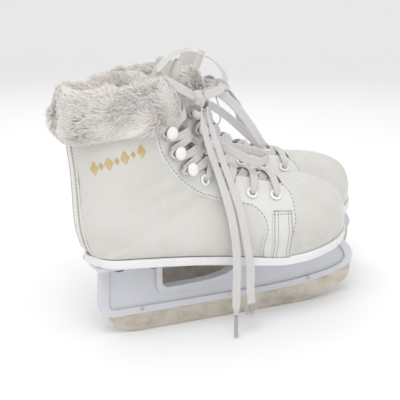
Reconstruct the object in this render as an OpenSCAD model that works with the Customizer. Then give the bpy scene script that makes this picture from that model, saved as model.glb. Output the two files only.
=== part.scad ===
// A pair of lace-up recreational ice skates with faux fur cuffs.
// Millimetres, +X to the toes, +Y to the left skate, +Z up, blades on z = 0.
// Every module draws the right skate's piece in that skate's own frame:
// x from the heel, outer side at -y. The left skate is its mirror image.

/* [Skate] */
// Boot length, heel to toe tip
boot_length = 242; // [180:1:310]
// Width factor of the boot
boot_width = 1; // [0.8:0.01:1.2]
// Height of the blade and holder under the heel
heel_height = 63; // [50:1:80]

/* [Blade] */
// Thickness of the steel blade
blade_thickness = 3.6; // [2.5:0.1:5]
// Depth of the blade tang inside the holder
tang_depth = 7; // [4:0.5:9]
// Radius of the blade cross pins
pin_radius = 1.6; // [1:0.1:2.5]

/* [Holder] */
// Overall thickness of the holder's raised border
holder_thickness = 10; // [8:0.5:14]
// Depth of the recessed panels on each side of the holder
holder_recess = 2.5; // [1:0.1:3.5]
// Thickness of the sole flanges
flange_thickness = 3; // [2:0.25:5]
// Half width of the heel flange
heel_flange_half = 20; // [14:1:26]
// Half width of the toe flange
toe_flange_half = 25; // [16:1:32]

/* [Sole] */
// Height of the outsole rim
rim_height = 7; // [4:0.5:12]
// How far the rim stands out past the upper
rim_lip = 2.6; // [1:0.1:5]
// Thickness of the insole board
board_thickness = 2; // [1:0.25:4]
// Thickness of the footbed
footbed_thickness = 3; // [1:0.25:6]

/* [Upper] */
// Thickness of the leather panels
leather = 1.5; // [0.8:0.1:2.5]
// Thickness of the overlaid trim pieces
trim = 1.1; // [0.6:0.1:2]
// Gap between layers
gap = 0.35; // [0.2:0.05:0.6]
// Thickness of the lining
lining_thickness = 1.2; // [0.6:0.1:3]
// Thickness of the tongue
tongue_thickness = 5; // [3:0.5:9]

/* [Fur collar] */
// How far the fur stands out from the shaft
fur_depth = 12; // [6:1:22]

/* [Lacing] */
// Width of the flat lace
lace_width = 7; // [4:0.5:10]
// Thickness of the flat lace
lace_thickness = 1.1; // [0.8:0.1:2]
// Outer radius of the eyelet rings
eyelet_radius = 4.8; // [3.5:0.1:6]
// Bore radius of the eyelets
eyelet_bore = 2.6; // [1.5:0.1:3.2]
// Radius of the hook heads
hook_radius = 5.2; // [3.5:0.1:6.5]

/* [Pair] */
// Distance between the two blades
pair_spacing = 92; // [90:1:140]
// How far the left skate stands ahead of the right one
pair_stagger = 62; // [0:1:80]

/* [Hidden] */
$fn = 48;
kx = boot_length / 242;
z0 = heel_height - 63;

// Boot sections from the top of the shaft to the toe:
// back or bottom point x z, front or top point x z, half width there,
// greatest half width, where it lies, upper roundness, sideways shift.
SEC = [
  [-6, 204, 74, 214, 0, 34, .50, 2.2, 0],
  [-5, 190, 78, 200, 0, 33, .50, 2.2, 0],
  [-4, 172, 82, 180, 0, 32, .50, 2.2, 0],
  [-3, 154, 87, 165, 0, 31, .48, 2.2, 0],
  [-1, 136, 93, 153, 0, 31, .46, 2.1, 0],
  [0, 118, 100, 143, 0, 31.5, .44, 2.0, 0],
  [.5, 102, 107, 137.5, 0, 32.5, .42, 1.9, 0],
  [2, 88, 114, 134, 0, 33, .40, 1.85, 0],
  [5, 77, 121, 131, 0, 33, .38, 1.8, 0],
  [9, 70, 127, 129, 3, 33, .36, 1.8, 0],
  [14, 70, 131, 127.8, 17, 33.2, .35, 1.8, 0],
  [24, 70, 136, 126, 24.5, 33.5, .34, 1.8, 0],
  [40, 69.7, 142, 124.4, 28, 34, .33, 1.8, 0],
  [60, 68.3, 149, 122.6, 29, 34.5, .32, 1.85, 0],
  [85, 65.8, 157, 121, 29, 35.5, .31, 1.9, 0],
  [112, 62.8, 166, 119, 31.5, 37.5, .30, 2.0, .5],
  [138, 59.8, 176, 117, 36.5, 40, .30, 2.15, 1],
  [160, 57.8, 187, 115.6, 40, 42, .30, 2.3, 2],
  [180, 58.2, 199, 114.5, 40.5, 42, .32, 2.4, 3],
  [197, 60, 209, 112.8, 38.5, 40, .34, 2.4, 4],
  [212, 62.3, 218, 110, 34, 36, .36, 2.3, 4.5],
  [224, 64.5, 226, 106, 27, 29.5, .38, 2.2, 5],
  [233, 66.3, 233, 98, 18, 21, .40, 2.1, 5],
  [238.5, 67.5, 238.8, 88, 10, 12, .42, 2.0, 5],
  [241.5, 68.2, 242, 77, 4, 5.5, .45, 2.0, 5]
];
NS = len(SEC) - 1;

// Smooth lookup in a table of rows.
function row(tab, i) = tab[max(0, min(len(tab) - 1, i))];
function cr(tab, t) =
  let (i = min(floor(t), len(tab) - 2), f = t - i,
       a = row(tab, i - 1), b = row(tab, i), c = row(tab, i + 1), d = row(tab, i + 2))
  b + .5 * f * (c - a + f * (2 * a - 5 * b + 4 * c - d + f * (3 * (b - c) + d - a)));
function unit(v) = v / max(norm(v), 1e-9);
function clamp01(v) = max(0, min(1, v));

// Point on the boot. s runs down the sections. t runs round them: 0 is the
// back or sole line, 1 the front line, 0 to 1 the outer side, -1 to 0 the
// inner side, 1 to 2 the inner side again. d is the distance outwards.
function boot_pt(s, t, d = 0) =
  let (side = t < 0 || t > 1 ? 1 : -1,
       u = t < 0 ? -t : t > 1 ? 2 - t : t,
       v = (1 - cos(180 * u)) / 2,
       c = cr(SEC, s),
       e = cr(SEC, min(NS, s + .01)) - cr(SEC, max(0, s - .01)),
       nb = unit([e[1], -e[0]]),
       nf = unit([-e[3], e[2]]),
       kb = clamp01(1 - c[4] / 12),
       back = [c[0], c[1]] + nb * d * kb,
       front = [c[2], c[3]] + nf * d,
       wm = (c[5] + d) * boot_width,
       wb = c[4] > .01 ? (c[4] + d * clamp01(c[4] / 12)) * boot_width : 0,
       vm = c[6],
       q = clamp01((v - vm) / (1 - vm)),
       r = clamp01((vm - v) / vm),
       y = v > vm ? wm * pow(1 - pow(q, c[7]), 1 / c[7])
                  : wb + (wm - wb) * pow(1 - pow(r, 2.2), 1 / 2.2),
       p = back + (front - back) * v,
       toe = d * .8 * clamp01((s - 22) / 2))
  [(p[0] + toe) * kx, c[8] + side * y, p[1] + z0];
function normal_at(s, t, d = 0) =
  let (a = boot_pt(s + .03, t, d) - boot_pt(s - .03, t, d),
       b = boot_pt(s, t + .01, d) - boot_pt(s, t - .01, d))
  unit(cross(a, b)) * (cross(a, b)[1] * (t < 0 || t > 1 ? 1 : -1) < 0 ? -1 : 1);

// Straight interpolation along a list of points at 0 to 1.
function along(list, f) =
  let (g = f * (len(list) - 1), i = min(floor(g), len(list) - 2))
  list[i] + (list[i + 1] - list[i]) * (g - i);

// Closed sheet between two edges given in (s, t), from offset d0 to d1.
// With cap set, the far end is closed across instead of left open.
module sheet(edge_a, edge_b, nu, nv, d0, d1, cap = false) {
  w = nv + 1;
  n = (nu + 1) * w;
  st = [for (i = [0 : nu]) for (j = [0 : nv])
    let (a = along(edge_a, i / nu), b = along(edge_b, i / nu)) a + (b - a) * j / nv];
  outer = [for (q = st) boot_pt(q[0], q[1], d1)];
  inner = [for (q = st) boot_pt(q[0], q[1], d0)];
  ends = [for (i = [0 : nu]) i * w + nv];
  middle = [for (shell = [outer, inner]) [for (k = [0 : 2])
    [for (e = ends) shell[e][k]] * [for (e = ends) 1] / len(ends)]];
  pts = concat(outer, inner, cap ? middle : []);
  top = [for (i = [0 : nu - 1]) for (j = [0 : nv - 1]) each
    [[i * w + j, i * w + j + 1, (i + 1) * w + j + 1], [i * w + j, (i + 1) * w + j + 1, (i + 1) * w + j]]];
  low = [for (f = top) [f[0] + n, f[2] + n, f[1] + n]];
  rim = concat([for (j = [0 : nv]) j], cap ? [ends[nu]] : [for (i = [1 : nu]) ends[i]],
    [for (j = [nv - 1 : -1 : 0]) nu * w + j], [for (i = [nu - 1 : -1 : 1]) i * w]);
  m = len(rim);
  wall = [for (k = [0 : m - 1]) each
    [[rim[k], rim[k] + n, rim[(k + 1) % m] + n], [rim[k], rim[(k + 1) % m] + n, rim[(k + 1) % m]]]];
  fans = cap ? [for (i = [0 : nu]) let (a = ends[i], b = ends[(i + 1) % (nu + 1)]) each
    [[b, a, 2 * n], [a + n, b + n, 2 * n + 1]]] : [];
  all = concat(top, low, wall, fans);
  mid = floor(nu / 2) * w + floor(nv / 2);
  turn = cross(pts[mid + 1] - pts[mid], pts[mid + w] - pts[mid]) * (pts[mid] - pts[mid + n]);
  polyhedron(pts, turn < 0 ? all : [for (f = all) [f[0], f[2], f[1]]], convexity = 6);
}

// Loop of (s, d) points carried round the boot from t0 to t1.
module collar(loop, t0, t1, nt) {
  m = len(loop);
  pts = [for (i = [0 : nt]) for (q = loop) boot_pt(q[0], t0 + (t1 - t0) * i / nt, q[1])];
  side = [for (i = [0 : nt - 1]) for (j = [0 : m - 1])
    let (a = i * m + j, b = i * m + (j + 1) % m) each [[a, b, b + m], [a, b + m, a + m]]];
  mid = [for (i = [0, nt]) boot_pt(1.3, t0 + (t1 - t0) * i / nt, 4)];
  caps = concat([for (j = [0 : m - 1]) [len(pts), (j + 1) % m, j]],
    [for (j = [0 : m - 1]) [len(pts) + 1, nt * m + j, nt * m + (j + 1) % m]]);
  polyhedron(concat(pts, mid), concat(side, caps), convexity = 6);
}

// Flat ribbon along a list of points, each with its own width direction.
module ribbon(pts, wide, w, h) {
  n = len(pts);
  ring = [for (i = [0 : n - 1])
    let (t = unit(pts[min(n - 1, i + 1)] - pts[max(0, i - 1)]),
         x = unit(wide[i] - t * (t * wide[i])), y = cross(t, x),
         e = (i == 0 || i == n - 1) ? .85 : 1)
    each [pts[i] + x * w / 2 * e, pts[i] + y * h / 2 * e, pts[i] - x * w / 2 * e, pts[i] - y * h / 2 * e]
  ];
  m = 4;
  side = [for (i = [0 : n - 2]) for (j = [0 : m - 1])
    let (a = i * m + j, b = i * m + (j + 1) % m) each [[a, b + m, b], [a, a + m, b + m]]];
  ends = [[0, 1, 2], [0, 2, 3], [(n - 1) * m, (n - 1) * m + 2, (n - 1) * m + 1],
    [(n - 1) * m, (n - 1) * m + 3, (n - 1) * m + 2]];
  polyhedron(ring, concat(side, ends), convexity = 6);
}
// Ribbon through rows of x y z and width direction, smoothed.
module cord(rows, steps) {
  n = (len(rows) - 1) * steps;
  q = [for (i = [0 : n]) cr(rows, i / steps)];
  ribbon([for (r = q) [r[0] * kx, r[1], r[2]]], [for (r = q) [r[3], r[4], r[5]]],
    lace_width, lace_thickness);
}

// Sole outline in plan, m outside the upper's foot line.
function foot_pt(s, side) = let (c = cr(SEC, s)) [c[0] * kx, c[8] + side * c[4] * boot_width];
function foot_edge(s, side, m) =
  let (a = foot_pt(max(9, s - .05), side), b = foot_pt(min(NS, s + .05), side),
       t = unit(b - a))
  foot_pt(s, side) + [-t[1], t[0]] * side * m;
function foot_outline(m) = concat(
  [for (s = [9 : .5 : NS]) foot_edge(s, -1, m)], [for (s = [NS : -.5 : 9]) foot_edge(s, 1, m)]);
// Height of the sole top at a heel-to-toe position.
function sole_z(x) = z0 - gap + lookup(x, [for (i = [9 : NS]) [SEC[i][0] * kx, SEC[i][1]]]);
// Strip following the sole, from a to b below its top.
module sole_strip(a, b, x0 = -20, x1 = 270) {
  xs = concat([x0], [for (i = [10 : NS]) if (SEC[i][0] * kx > x0 && SEC[i][0] * kx < x1) SEC[i][0] * kx], [x1]);
  rotate([90, 0, 0])
    linear_extrude(140, center = true)
      polygon(concat([for (x = xs) [x, sole_z(x) - a]],
        [for (i = [len(xs) - 1 : -1 : 0]) [xs[i], sole_z(xs[i]) - b]]));
}
module side_plate(points, thick) {
  rotate([90, 0, 0])
    linear_extrude(thick, center = true)
      polygon([for (p = points) [p[0] * kx, p[1]]]);
}
// Places children along the outward direction at a point of the boot.
module on_boot(s, t, d) {
  n = normal_at(s, t, d);
  translate(boot_pt(s, t, d))
    rotate([0, acos(n[2]), atan2(n[1], n[0])])
      children();
}

// ---- outlines in (s, t), outer side; the inner side uses -t
facing = [[1.7, .735], [3, .757], [4.2, .767], [6, .782], [8, .803], [10, .830], [12, .842], [14, .835], [15.6, .815]];
seam_low = [for (i = [0 : 8]) [1.7 + 14.6 * i / 8, .014]];
vamp_back = [[16.36, 0], [16.26, .37], [16.06, .56], [15.91, .705], [15.6, .83], [15.5, 1],
  [15.6, 1.17], [15.91, 1.295], [16.06, 1.44], [16.26, 1.63], [16.36, 2]];
stay_low = [[1.75, .578], [2.7, .578], [3.9, .575], [5, .60], [7.3, .63], [9.6, .635], [11.9, .613], [13.1, .6]];
stay_top = [[1.75, .728], [3, .75], [4.2, .76], [5.6, .773], [7, .785], [8.4, .80], [9.6, .815], [10.5, .828]];
panel_low = [[13.25, .605], [13.75, .59], [14.2, .578], [14.8, .53], [15.2, .478], [15.4, .436], [15.6, .37], [16.16, .005]];
panel_top = [[10.7, .828], [12.4, .835], [14.3, .828], [15.45, .812], [16.1, .738], [16.55, .59], [16.85, .463], [17.35, .005]];
hooks_at = [[2.9, .652], [4.12, .662], [5.56, .685]];
eyes_at = [[7.54, .714], [11.1, .70], [13.62, .681], [15.16, .684]];
function flip(edge) = [for (q = edge) [q[0], -q[1]]];
in_d = -leather;
lin_out = -leather - 1.6;
lin_in = lin_out - lining_thickness;
trim_in = gap;
trim_out = gap + trim;
patch_in = trim_out + gap;

// ---- tongue flap: x z of its fold line, and how far it leans forward at rest, in degrees
flap_hinge = [79, 186.5];
flap_lean = 35;

// ---- free lace runs: x y z and width direction
loop_a = [[95, -9, 186, 0, 0, 1], [84, -20.5, 191, 0, .1, 1], [70, -26, 198, .2, .2, 1],
  [57, -25.5, 206, .5, .5, .6], [61, -24.5, 213, -.2, 1, .3], [72, -19, 219.5, 0, 1, .1],
  [87, -10.5, 221.5, 0, 1, .1], [102, -6, 218, .1, 1, .1], [114, -5, 211.5, .3, 1, .1],
  [121.5, -6, 201, .8, .6, .1], [115, -11, 191.5, .1, .3, 1], [101, -12, 187.5, 0, .1, 1]];
loop_b = [[102, -7, 188, .5, 0, .8], [111, -9, 190, .6, -.1, .8], [125.5, -7, 181.5, .7, -.1, .7],
  [139, -7, 167.5, .7, -.1, .7], [149, -7.5, 153.5, .75, -.1, .65], [156.5, -5.5, 144, .8, 0, .6],
  [161.5, -.5, 141.5, .8, .1, .6], [157.5, 4, 144, .8, .1, .6], [148.5, 4.5, 151, .75, .2, .6],
  [138, 4.5, 160.5, .7, .2, .65], [125, 4, 170.5, .6, .3, .7], [112, 0, 178, .3, .4, .8],
  [102, -4, 181, .2, .5, .8]];
loop_c = [[112, -9, 149, 0, .1, 1], [121, -7, 146.5, 0, .1, 1], [132, -6.5, 143.5, 0, .1, 1],
  [146, -7.5, 140.5, 0, .1, 1], [154.5, -10.5, 137, .1, .1, 1], [155, -15, 134, .1, -.1, 1],
  [146, -18.5, 133, 0, -.1, 1], [135, -18, 136.5, 0, -.1, 1], [123.5, -16, 143, 0, -.1, 1],
  [113, -12, 149, 0, -.1, 1]];
loop_d = [[96, -10, 184, 0, 0, 1], [100, -20, 185, .2, .3, 1], [104, -29, 179, -.1, .7, .6],
  [108, -34, 168, -.4, .85, .2], [111, -36, 155, -.5, .85, 0], [114, -36, 145, -.5, .85, 0],
  [118, -33.5, 141, -.5, .85, 0], [120, -31, 147, -.5, .85, 0], [117, -29, 160, -.5, .85, 0],
  [112, -26, 171, -.3, .8, .3], [107, -19, 179, 0, .6, .7], [102, -12, 183, 0, .3, 1]];
loop_e = [[100, -4, 184, 0, 0, 1], [102, 4, 186, .2, -.3, 1], [106, 13, 180, -.1, -.7, .6],
  [110, 19, 169, -.4, -.85, .2], [113, 22, 156, -.5, -.85, 0], [116, 22, 147, -.5, -.85, 0],
  [120.5, 19.5, 144, -.5, -.85, 0], [122, 16, 150, -.5, -.85, 0], [119, 12, 161, -.5, -.85, 0],
  [114, 8, 172, -.3, -.8, .3], [108, 2, 180, 0, -.6, .7], [103, -5, 183, 0, -.3, 1]];
tail_a = [[98, -13, 180, .2, 1, .2], [97, -20, 164, .8, .5, .1], [101, -23, 146, .8, .4, .3],
  [107, -27, 126, .9, .4, .3], [110, -38, 104, .9, .1, .3], [112, -45, 80, .9, 0, .1],
  [113, -46.5, 60, 1, 0, 0], [112.5, -47, 40, 1, 0, 0], [112, -48, 19, 1, 0, 0]];
tail_b = [[103, -11, 178, .2, 1, .2], [106, -17, 160, .8, .5, .1], [111, -21, 142, .8, .4, .3],
  [116, -28, 122, .9, .4, .3], [119, -40, 100, .9, .1, .3], [122, -45, 76, .9, 0, .1],
  [125, -46, 56, 1, 0, 0], [125, -46.5, 40, 1, 0, 0], [126, -47, 26, 1, 0, 0]];

// ---- blade and holder
hold_low = [[15.5, 26], [16.5, 21], [20, 17.3], [26, 16], [85, 16], [130, 16], [165, 16.3], [190, 17.5], [210, 19.5],
  [228, 22.5], [243, 27], [249.5, 32]];
hold_tip = [[251.5, 38], [248.5, 45], [241, 53]];
function blade_up(x) = lookup(x, hold_low);
module blade() {
  bottom = [[21.5, 22], [22, 17], [24, 12.5], [27, 8.8], [31, 5.6], [36, 3], [43, 1], [52, 0], [200, 0], [212, 1.4],
    [224, 4], [236, 8], [245, 12.5], [249.5, 17], [251, 23], [251, 31]];
  top = [for (x = [244, 235, 222, 206, 188, 165, 130, 85, 28]) [x, blade_up(x) + tang_depth]];
  color([.74, .72, .69])
    difference() {
      side_plate(concat(bottom, top), blade_thickness);
      for (x = [50, 128, 205])
        translate([x * kx, 0, blade_up(x) + 3.5])
          rotate([90, 0, 0])
            cylinder(r = pin_radius + .15, h = 40, center = true);
    }
}
module blade_pins() {
  color([.6, .6, .6])
    for (x = [50, 128, 205])
      translate([x * kx, 0, blade_up(x) + 3.5])
        rotate([90, 0, 0])
          cylinder(r = pin_radius, h = holder_thickness - .4, center = true);
}
module flange_plan() {
  intersection() {
    sole_strip(rim_height, rim_height + flange_thickness, 10, 242 * kx);
    union() {
      translate([40 * kx, 0, 40])
        cube([60 * kx, 2 * heel_flange_half, 80], center = true);
      linear_extrude(100)
        polygon([[128 * kx, -12], [150 * kx, -toe_flange_half], [205 * kx, -toe_flange_half], [230 * kx, -10],
          [230 * kx, 14], [205 * kx, toe_flange_half + 3], [150 * kx, toe_flange_half], [128 * kx, 12]]);
    }
  }
}
screw_at = [[28, 14], [56, 14], [158, 18], [200, 18]];
module holder() {
  outline = concat(hold_low, hold_tip, [[235, 80], [19, 80]]);
  window = [[67.5, 90], [67.5, 38.5], [69, 35.8], [72, 34], [98, 34.5], [112, 35.5], [125, 38], [134, 43], [142, 51], [148, 90]];
  recess = [[24.5, 90], [22, 25], [24, 22.5], [27, 21.5], [85, 21], [130, 21], [165, 21.3], [190, 22.5], [210, 24.5],
    [228, 27.5], [240, 31.5], [243.5, 36], [242, 42], [235, 51], [226, 90], [150, 90], [146, 50], [136, 38], [126, 33],
    [112, 30.5], [96, 29.5], [74, 29], [65, 31], [62.5, 36], [62.5, 90]];
  color([.88, .89, .93])
    difference() {
      union() {
        intersection() {
          difference() {
            side_plate(outline, holder_thickness);
            for (y = [-1, 1])
              translate([0, y * (holder_thickness / 2), 0])
                side_plate(recess, 2 * holder_recess);
            side_plate(window, 60);
          }
          sole_strip(rim_height, 90);
        }
        flange_plan();
      }
      side_plate([[20.7, 0], [262, 0], [262, 34], [248.5, 34],
        for (x = [244.2, 235, 222, 206, 188, 165, 130, 85, 27.8, 20.7]) [x, blade_up(x) + tang_depth + .2]],
        blade_thickness + .3);
      for (x = [50, 128, 205])
        translate([x * kx, 0, blade_up(x) + 3.5])
          rotate([90, 0, 0])
            cylinder(r = pin_radius + .15, h = 40, center = true);
      for (p = screw_at, y = [-1, 1])
        translate([p[0] * kx, y * p[1], 30])
          cylinder(r = 2.3, h = 60);
    }
}
module holder_screws() {
  color([.25, .25, .27])
    for (p = screw_at, y = [-1, 1]) {
      top = sole_z(p[0] * kx) - rim_height - flange_thickness;
      translate([p[0] * kx, y * p[1], top - 1.9]) {
        cylinder(r = 4, h = 1.6);
        cylinder(r = 2, h = flange_thickness + 5.5);
      }
    }
}
module outsole() {
  color([.93, .93, .94])
    difference() {
      intersection() {
        sole_strip(0, rim_height);
        linear_extrude(120)
          polygon(foot_outline(rim_lip));
      }
      for (p = screw_at, y = [-1, 1])
        translate([p[0] * kx, y * p[1], sole_z(p[0] * kx) - rim_height - 2])
          cylinder(r = 2.3, h = 6.6);
    }
}
module insole_board() {
  color([.76, .66, .5])
    intersection() {
      sole_strip(-board_thickness - .1, -.1);
      linear_extrude(120)
        polygon(foot_outline(-6.2));
    }
}
module footbed() {
  color([.85, .83, .8])
    intersection() {
      sole_strip(-board_thickness - footbed_thickness - .2, -board_thickness - .2);
      linear_extrude(120)
        polygon(foot_outline(-6.8));
    }
}

// ---- upper
module vamp() {
  toe_edge = [for (t = [0 : .2 : 2]) [NS, t]];
  color([.9, .89, .86])
    sheet(vamp_back, toe_edge, 14, 12, in_d, 0, true);
}
module eyelet_cuts(list, side) {
  for (q = list)
    on_boot(q[0], side * q[1], 0)
      cylinder(r = eyelet_bore + .75, h = 12, center = true, $fn = 10);
}
module quarter(side) {
  low = side > 0 ? seam_low : flip(seam_low);
  top = side > 0 ? facing : flip(facing);
  color([.9, .89, .86])
    resize([0, 0, 0])
      difference() {
        sheet(low, top, 22, 6, in_d, 0);
        eyelet_cuts(eyes_at, side);
      }
}
module quarter_outer() {
  quarter(1);
}
module quarter_inner() {
  quarter(-1);
}
module backstay() {
  color([.91, .9, .87])
    sheet([for (i = [0 : 4]) [2.1 + 6.4 * i / 4, -.068]], [for (i = [0 : 4]) [2.1 + 6.4 * i / 4, .068]],
      9, 4, trim_in, trim_out);
}
module eyestay(side) {
  color([.92, .92, .89])
    resize([0, 0, 0])
      difference() {
        sheet(side > 0 ? stay_low : flip(stay_low), side > 0 ? stay_top : flip(stay_top), 21, 3, trim_in, trim_out);
        eyelet_cuts([eyes_at[0], eyes_at[1]], side);
      }
}
module eyestay_outer() {
  eyestay(1);
}
module eyestay_inner() {
  eyestay(-1);
}
module front_panels() {
  color([.92, .92, .89])
    resize([0, 0, 0])
      difference() {
        for (side = [1, -1])
          sheet(side > 0 ? panel_low : flip(panel_low), side > 0 ? panel_top : flip(panel_top), 21, 4, trim_in, trim_out);
        for (side = [1, -1])
          eyelet_cuts([eyes_at[2], eyes_at[3]], side);
      }
}
module side_patches() {
  a = [[16.45, .01], [16.18, .26], [15.9, .37], [15.6, .47], [15.36, .56]];
  b = [[17.27, .01], [17.0, .26], [16.78, .41], [16.52, .5], [16.34, .57]];
  color([.92, .92, .89])
    for (side = [1, -1])
      sheet(side > 0 ? a : flip(a), side > 0 ? b : flip(b), 6, 2, patch_in, patch_in + trim);
}
module heel_counter() {
  color([.7, .6, .45])
    sheet([for (i = [0 : 4]) [4.8 + 3.7 * i / 4, -.36]], [for (i = [0 : 4]) [4.8 + 3.7 * i / 4, .36]],
      8, 8, in_d - .3 - 1, in_d - .3);
}
module toe_puff() {
  color([.7, .6, .45])
    sheet([for (i = [0 : 4]) [19.6 + 3.3 * i / 4, .2]], [for (i = [0 : 4]) [19.6 + 3.3 * i / 4, 1.8]],
      6, 8, in_d - .3 - 1, in_d - .3);
}
module lining() {
  low = [for (i = [0 : 8]) [1.75 + 14 * i / 8, .016]];
  top = [for (q = facing) [min(q[0] + .05, 15.3), q[1] - .012]];
  a = [[16.3, .03], [16.2, .37], [15.95, .56], [15.75, .705], [15.7, 1],
    [15.75, 1.295], [15.95, 1.44], [16.2, 1.63], [16.3, 1.97]];
  b = [for (i = [0 : 8]) [22.6, .03 + 1.94 * i / 8]];
  color([.83, .8, .77]) {
    for (side = [1, -1])
      sheet(side > 0 ? low : flip(low), side > 0 ? top : flip(top), 16, 5, lin_in, lin_out);
    sheet(a, b, 8, 9, lin_in, lin_out);
  }
}
module tongue() {
  n = 13;
  color([.88, .87, .84])
    sheet([for (i = [0 : n]) [1.72 + 13.9 * i / n, .70 + .06 * i / n]],
      [for (i = [0 : n]) [1.72 + 13.9 * i / n, 1.30 - .06 * i / n]],
      14, 6, lin_in - .4 - tongue_thickness, lin_in - .4);
}
module tongue_flap() {
  n = 4;
  color([.88, .87, .84])
    translate([flap_hinge[0] * kx, 0, flap_hinge[1]])
    rotate([0, flap_lean, 0])
    translate([-flap_hinge[0] * kx, 0, -flap_hinge[1]])
    sheet([for (i = [0 : n]) [.1 + 1.36 * i / n, .80 - .035 * min(1, i)]],
      [for (i = [0 : n]) [.1 + 1.36 * i / n, 1.20 + .035 * min(1, i)]],
      6, 8, lin_in - 1.4 - tongue_thickness, lin_in - 1.4);
}
module fur_collar() {
  loop = [[2.5, .6], [2.72, 3.5], [2.7, .62 * fur_depth], [2.4, .88 * fur_depth], [1.9, fur_depth],
    [1.42, .83 * fur_depth], [1.05, .55 * fur_depth], [.85, 3], [.92, -1.5], [1.15, -4.6], [1.5, -4.2], [1.55, .6], [2, .6]];
  color([.82, .78, .75])
    collar(loop, -.76, .76, 30);
}

// ---- lacing hardware
module eyelets() {
  color([.95, .95, .95])
    for (side = [1, -1], q = eyes_at)
      on_boot(q[0], side * q[1], trim_out + .35)
        rotate_extrude()
          polygon([[eyelet_bore, 1.1], [eyelet_bore + .3, 1.3], [eyelet_radius - .7, 1.2], [eyelet_radius, .5],
            [eyelet_radius, 0], [eyelet_bore + .4, 0], [eyelet_bore + .4, -3.5], [eyelet_bore, -3.5]]);
}
module hooks() {
  color([.95, .95, .95])
    for (side = [1, -1], q = hooks_at)
      on_boot(q[0], side * q[1], trim_out + .6)
        rotate_extrude()
          polygon([[0, 0], [3.6, 0], [3.6, .8], [1.7, 1.2], [1.7, 4.6], [hook_radius - .4, 5], [hook_radius, 5.8],
            [hook_radius - .8, 6.9], [2.6, 7.7], [0, 7.9]]);
}

// ---- laces
// One band of lace across the throat.
module band(p, q, mid, e0, e1) {
  n = 8;
  st = [for (i = [0 : n]) let (f = i / n, k = pow(sin(180 * f), .6))
    [p[0] + (q[0] - p[0]) * f, p[1] + (q[1] - p[1]) * f, (e0 + (e1 - e0) * f) * (1 - k) + mid * k]];
  pts = [for (a = st) boot_pt(a[0], a[1], a[2])];
  ribbon(pts, [for (i = [0 : n]) let (a = st[i], t = unit(pts[min(n, i + 1)] - pts[max(0, i - 1)]))
    cross(t, normal_at(a[0], min(1.999, max(.001, a[1])), a[2]))], lace_width * .9, lace_thickness);
}
module lace() {
  rows = concat([for (q = hooks_at) [q[0], q[1] + .045]], eyes_at);
  top = trim_out + 2.6;
  color([.85, .83, .84]) {
    for (i = [0 : len(rows) - 2]) {
      a = rows[i];
      b = rows[i + 1];
      band(a, [b[0], 2 - b[1]], -.6, top, top + 1.5);
      band([a[0], 2 - a[1]], b, 1.5, top, top + 1.5);
    }
    band(rows[6], [rows[6][0], 2 - rows[6][1]], 1, top + 3, top + 3);
  }
}
module knot() {
  color([.85, .83, .84])
    translate([98 * kx, -7, 183]) {
      sphere(r = 5.2);
      rotate([60, 20, 0])
        rotate_extrude()
          translate([5, 0])
            circle(r = 2.2);
      rotate([0, 80, 20])
        rotate_extrude()
          translate([4.6, 0])
            circle(r = 2.1);
    }
}
module lace_loop_a() {
  color([.85, .83, .84])
    cord(loop_a, 4);
}
module lace_loop_b() {
  color([.85, .83, .84])
    cord(loop_b, 4);
}
module lace_loop_c() {
  color([.85, .83, .84])
    cord(loop_c, 4);
}
module lace_loop_d() {
  color([.85, .83, .84])
    cord(loop_d, 4);
}
module lace_loop_e() {
  color([.85, .83, .84])
    cord(loop_e, 4);
}
module lace_tail_a() {
  color([.85, .83, .84])
    cord(tail_a, 4);
}
module lace_tail_b() {
  color([.85, .83, .84])
    cord(tail_b, 4);
}
module aglet(rows) {
  e = rows[len(rows) - 1];
  translate([e[0] * kx, e[1], e[2] - 17.6])
    cylinder(r = 1.6, h = 17);
}

// ---- the two skates in the pair's frame
mid_x = 148.71;
module right() {
  translate([-mid_x, -pair_spacing / 2, 0])
    children();
}
module left() {
  translate([pair_stagger - mid_x, pair_spacing / 2, 0])
    mirror([0, 1, 0])
      children();
}
module right_aglet() {
  color([.7, .7, .72])
    right()
      aglet(tail_a);
}
module left_aglet() {
  color([.7, .7, .72])
    left()
      aglet(tail_a);
}
module right_blade() {
  right()
    blade();
}
module right_blade_pins() {
  right()
    blade_pins();
}
module right_holder() {
  right()
    holder();
}
module right_holder_screws() {
  right()
    holder_screws();
}
module right_outsole() {
  right()
    outsole();
}
module right_insole_board() {
  right()
    insole_board();
}
module right_footbed() {
  right()
    footbed();
}
module right_vamp() {
  right()
    vamp();
}
module right_quarter_outer() {
  right()
    quarter_outer();
}
module right_quarter_inner() {
  right()
    quarter_inner();
}
module right_backstay() {
  right()
    backstay();
}
module right_eyestay_outer() {
  right()
    eyestay_outer();
}
module right_eyestay_inner() {
  right()
    eyestay_inner();
}
module right_front_panels() {
  right()
    front_panels();
}
module right_side_patches() {
  right()
    side_patches();
}
module right_heel_counter() {
  right()
    heel_counter();
}
module right_toe_puff() {
  right()
    toe_puff();
}
module right_lining() {
  right()
    lining();
}
module right_tongue() {
  right()
    tongue();
}
module right_tongue_flap() {
  right()
    tongue_flap();
}
module right_fur_collar() {
  right()
    fur_collar();
}
module right_eyelets() {
  right()
    eyelets();
}
module right_hooks() {
  right()
    hooks();
}
module right_lace() {
  right()
    lace();
}
module right_knot() {
  right()
    knot();
}
module right_lace_loop_a() {
  right()
    lace_loop_a();
}
module right_lace_loop_b() {
  right()
    lace_loop_b();
}
module right_lace_loop_c() {
  right()
    lace_loop_c();
}
module right_lace_tail_a() {
  right()
    lace_tail_a();
}
module right_lace_tail_b() {
  right()
    lace_tail_b();
}
module left_blade() {
  left()
    blade();
}
module left_blade_pins() {
  left()
    blade_pins();
}
module left_holder() {
  left()
    holder();
}
module left_holder_screws() {
  left()
    holder_screws();
}
module left_outsole() {
  left()
    outsole();
}
module left_insole_board() {
  left()
    insole_board();
}
module left_footbed() {
  left()
    footbed();
}
module left_vamp() {
  left()
    vamp();
}
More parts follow.
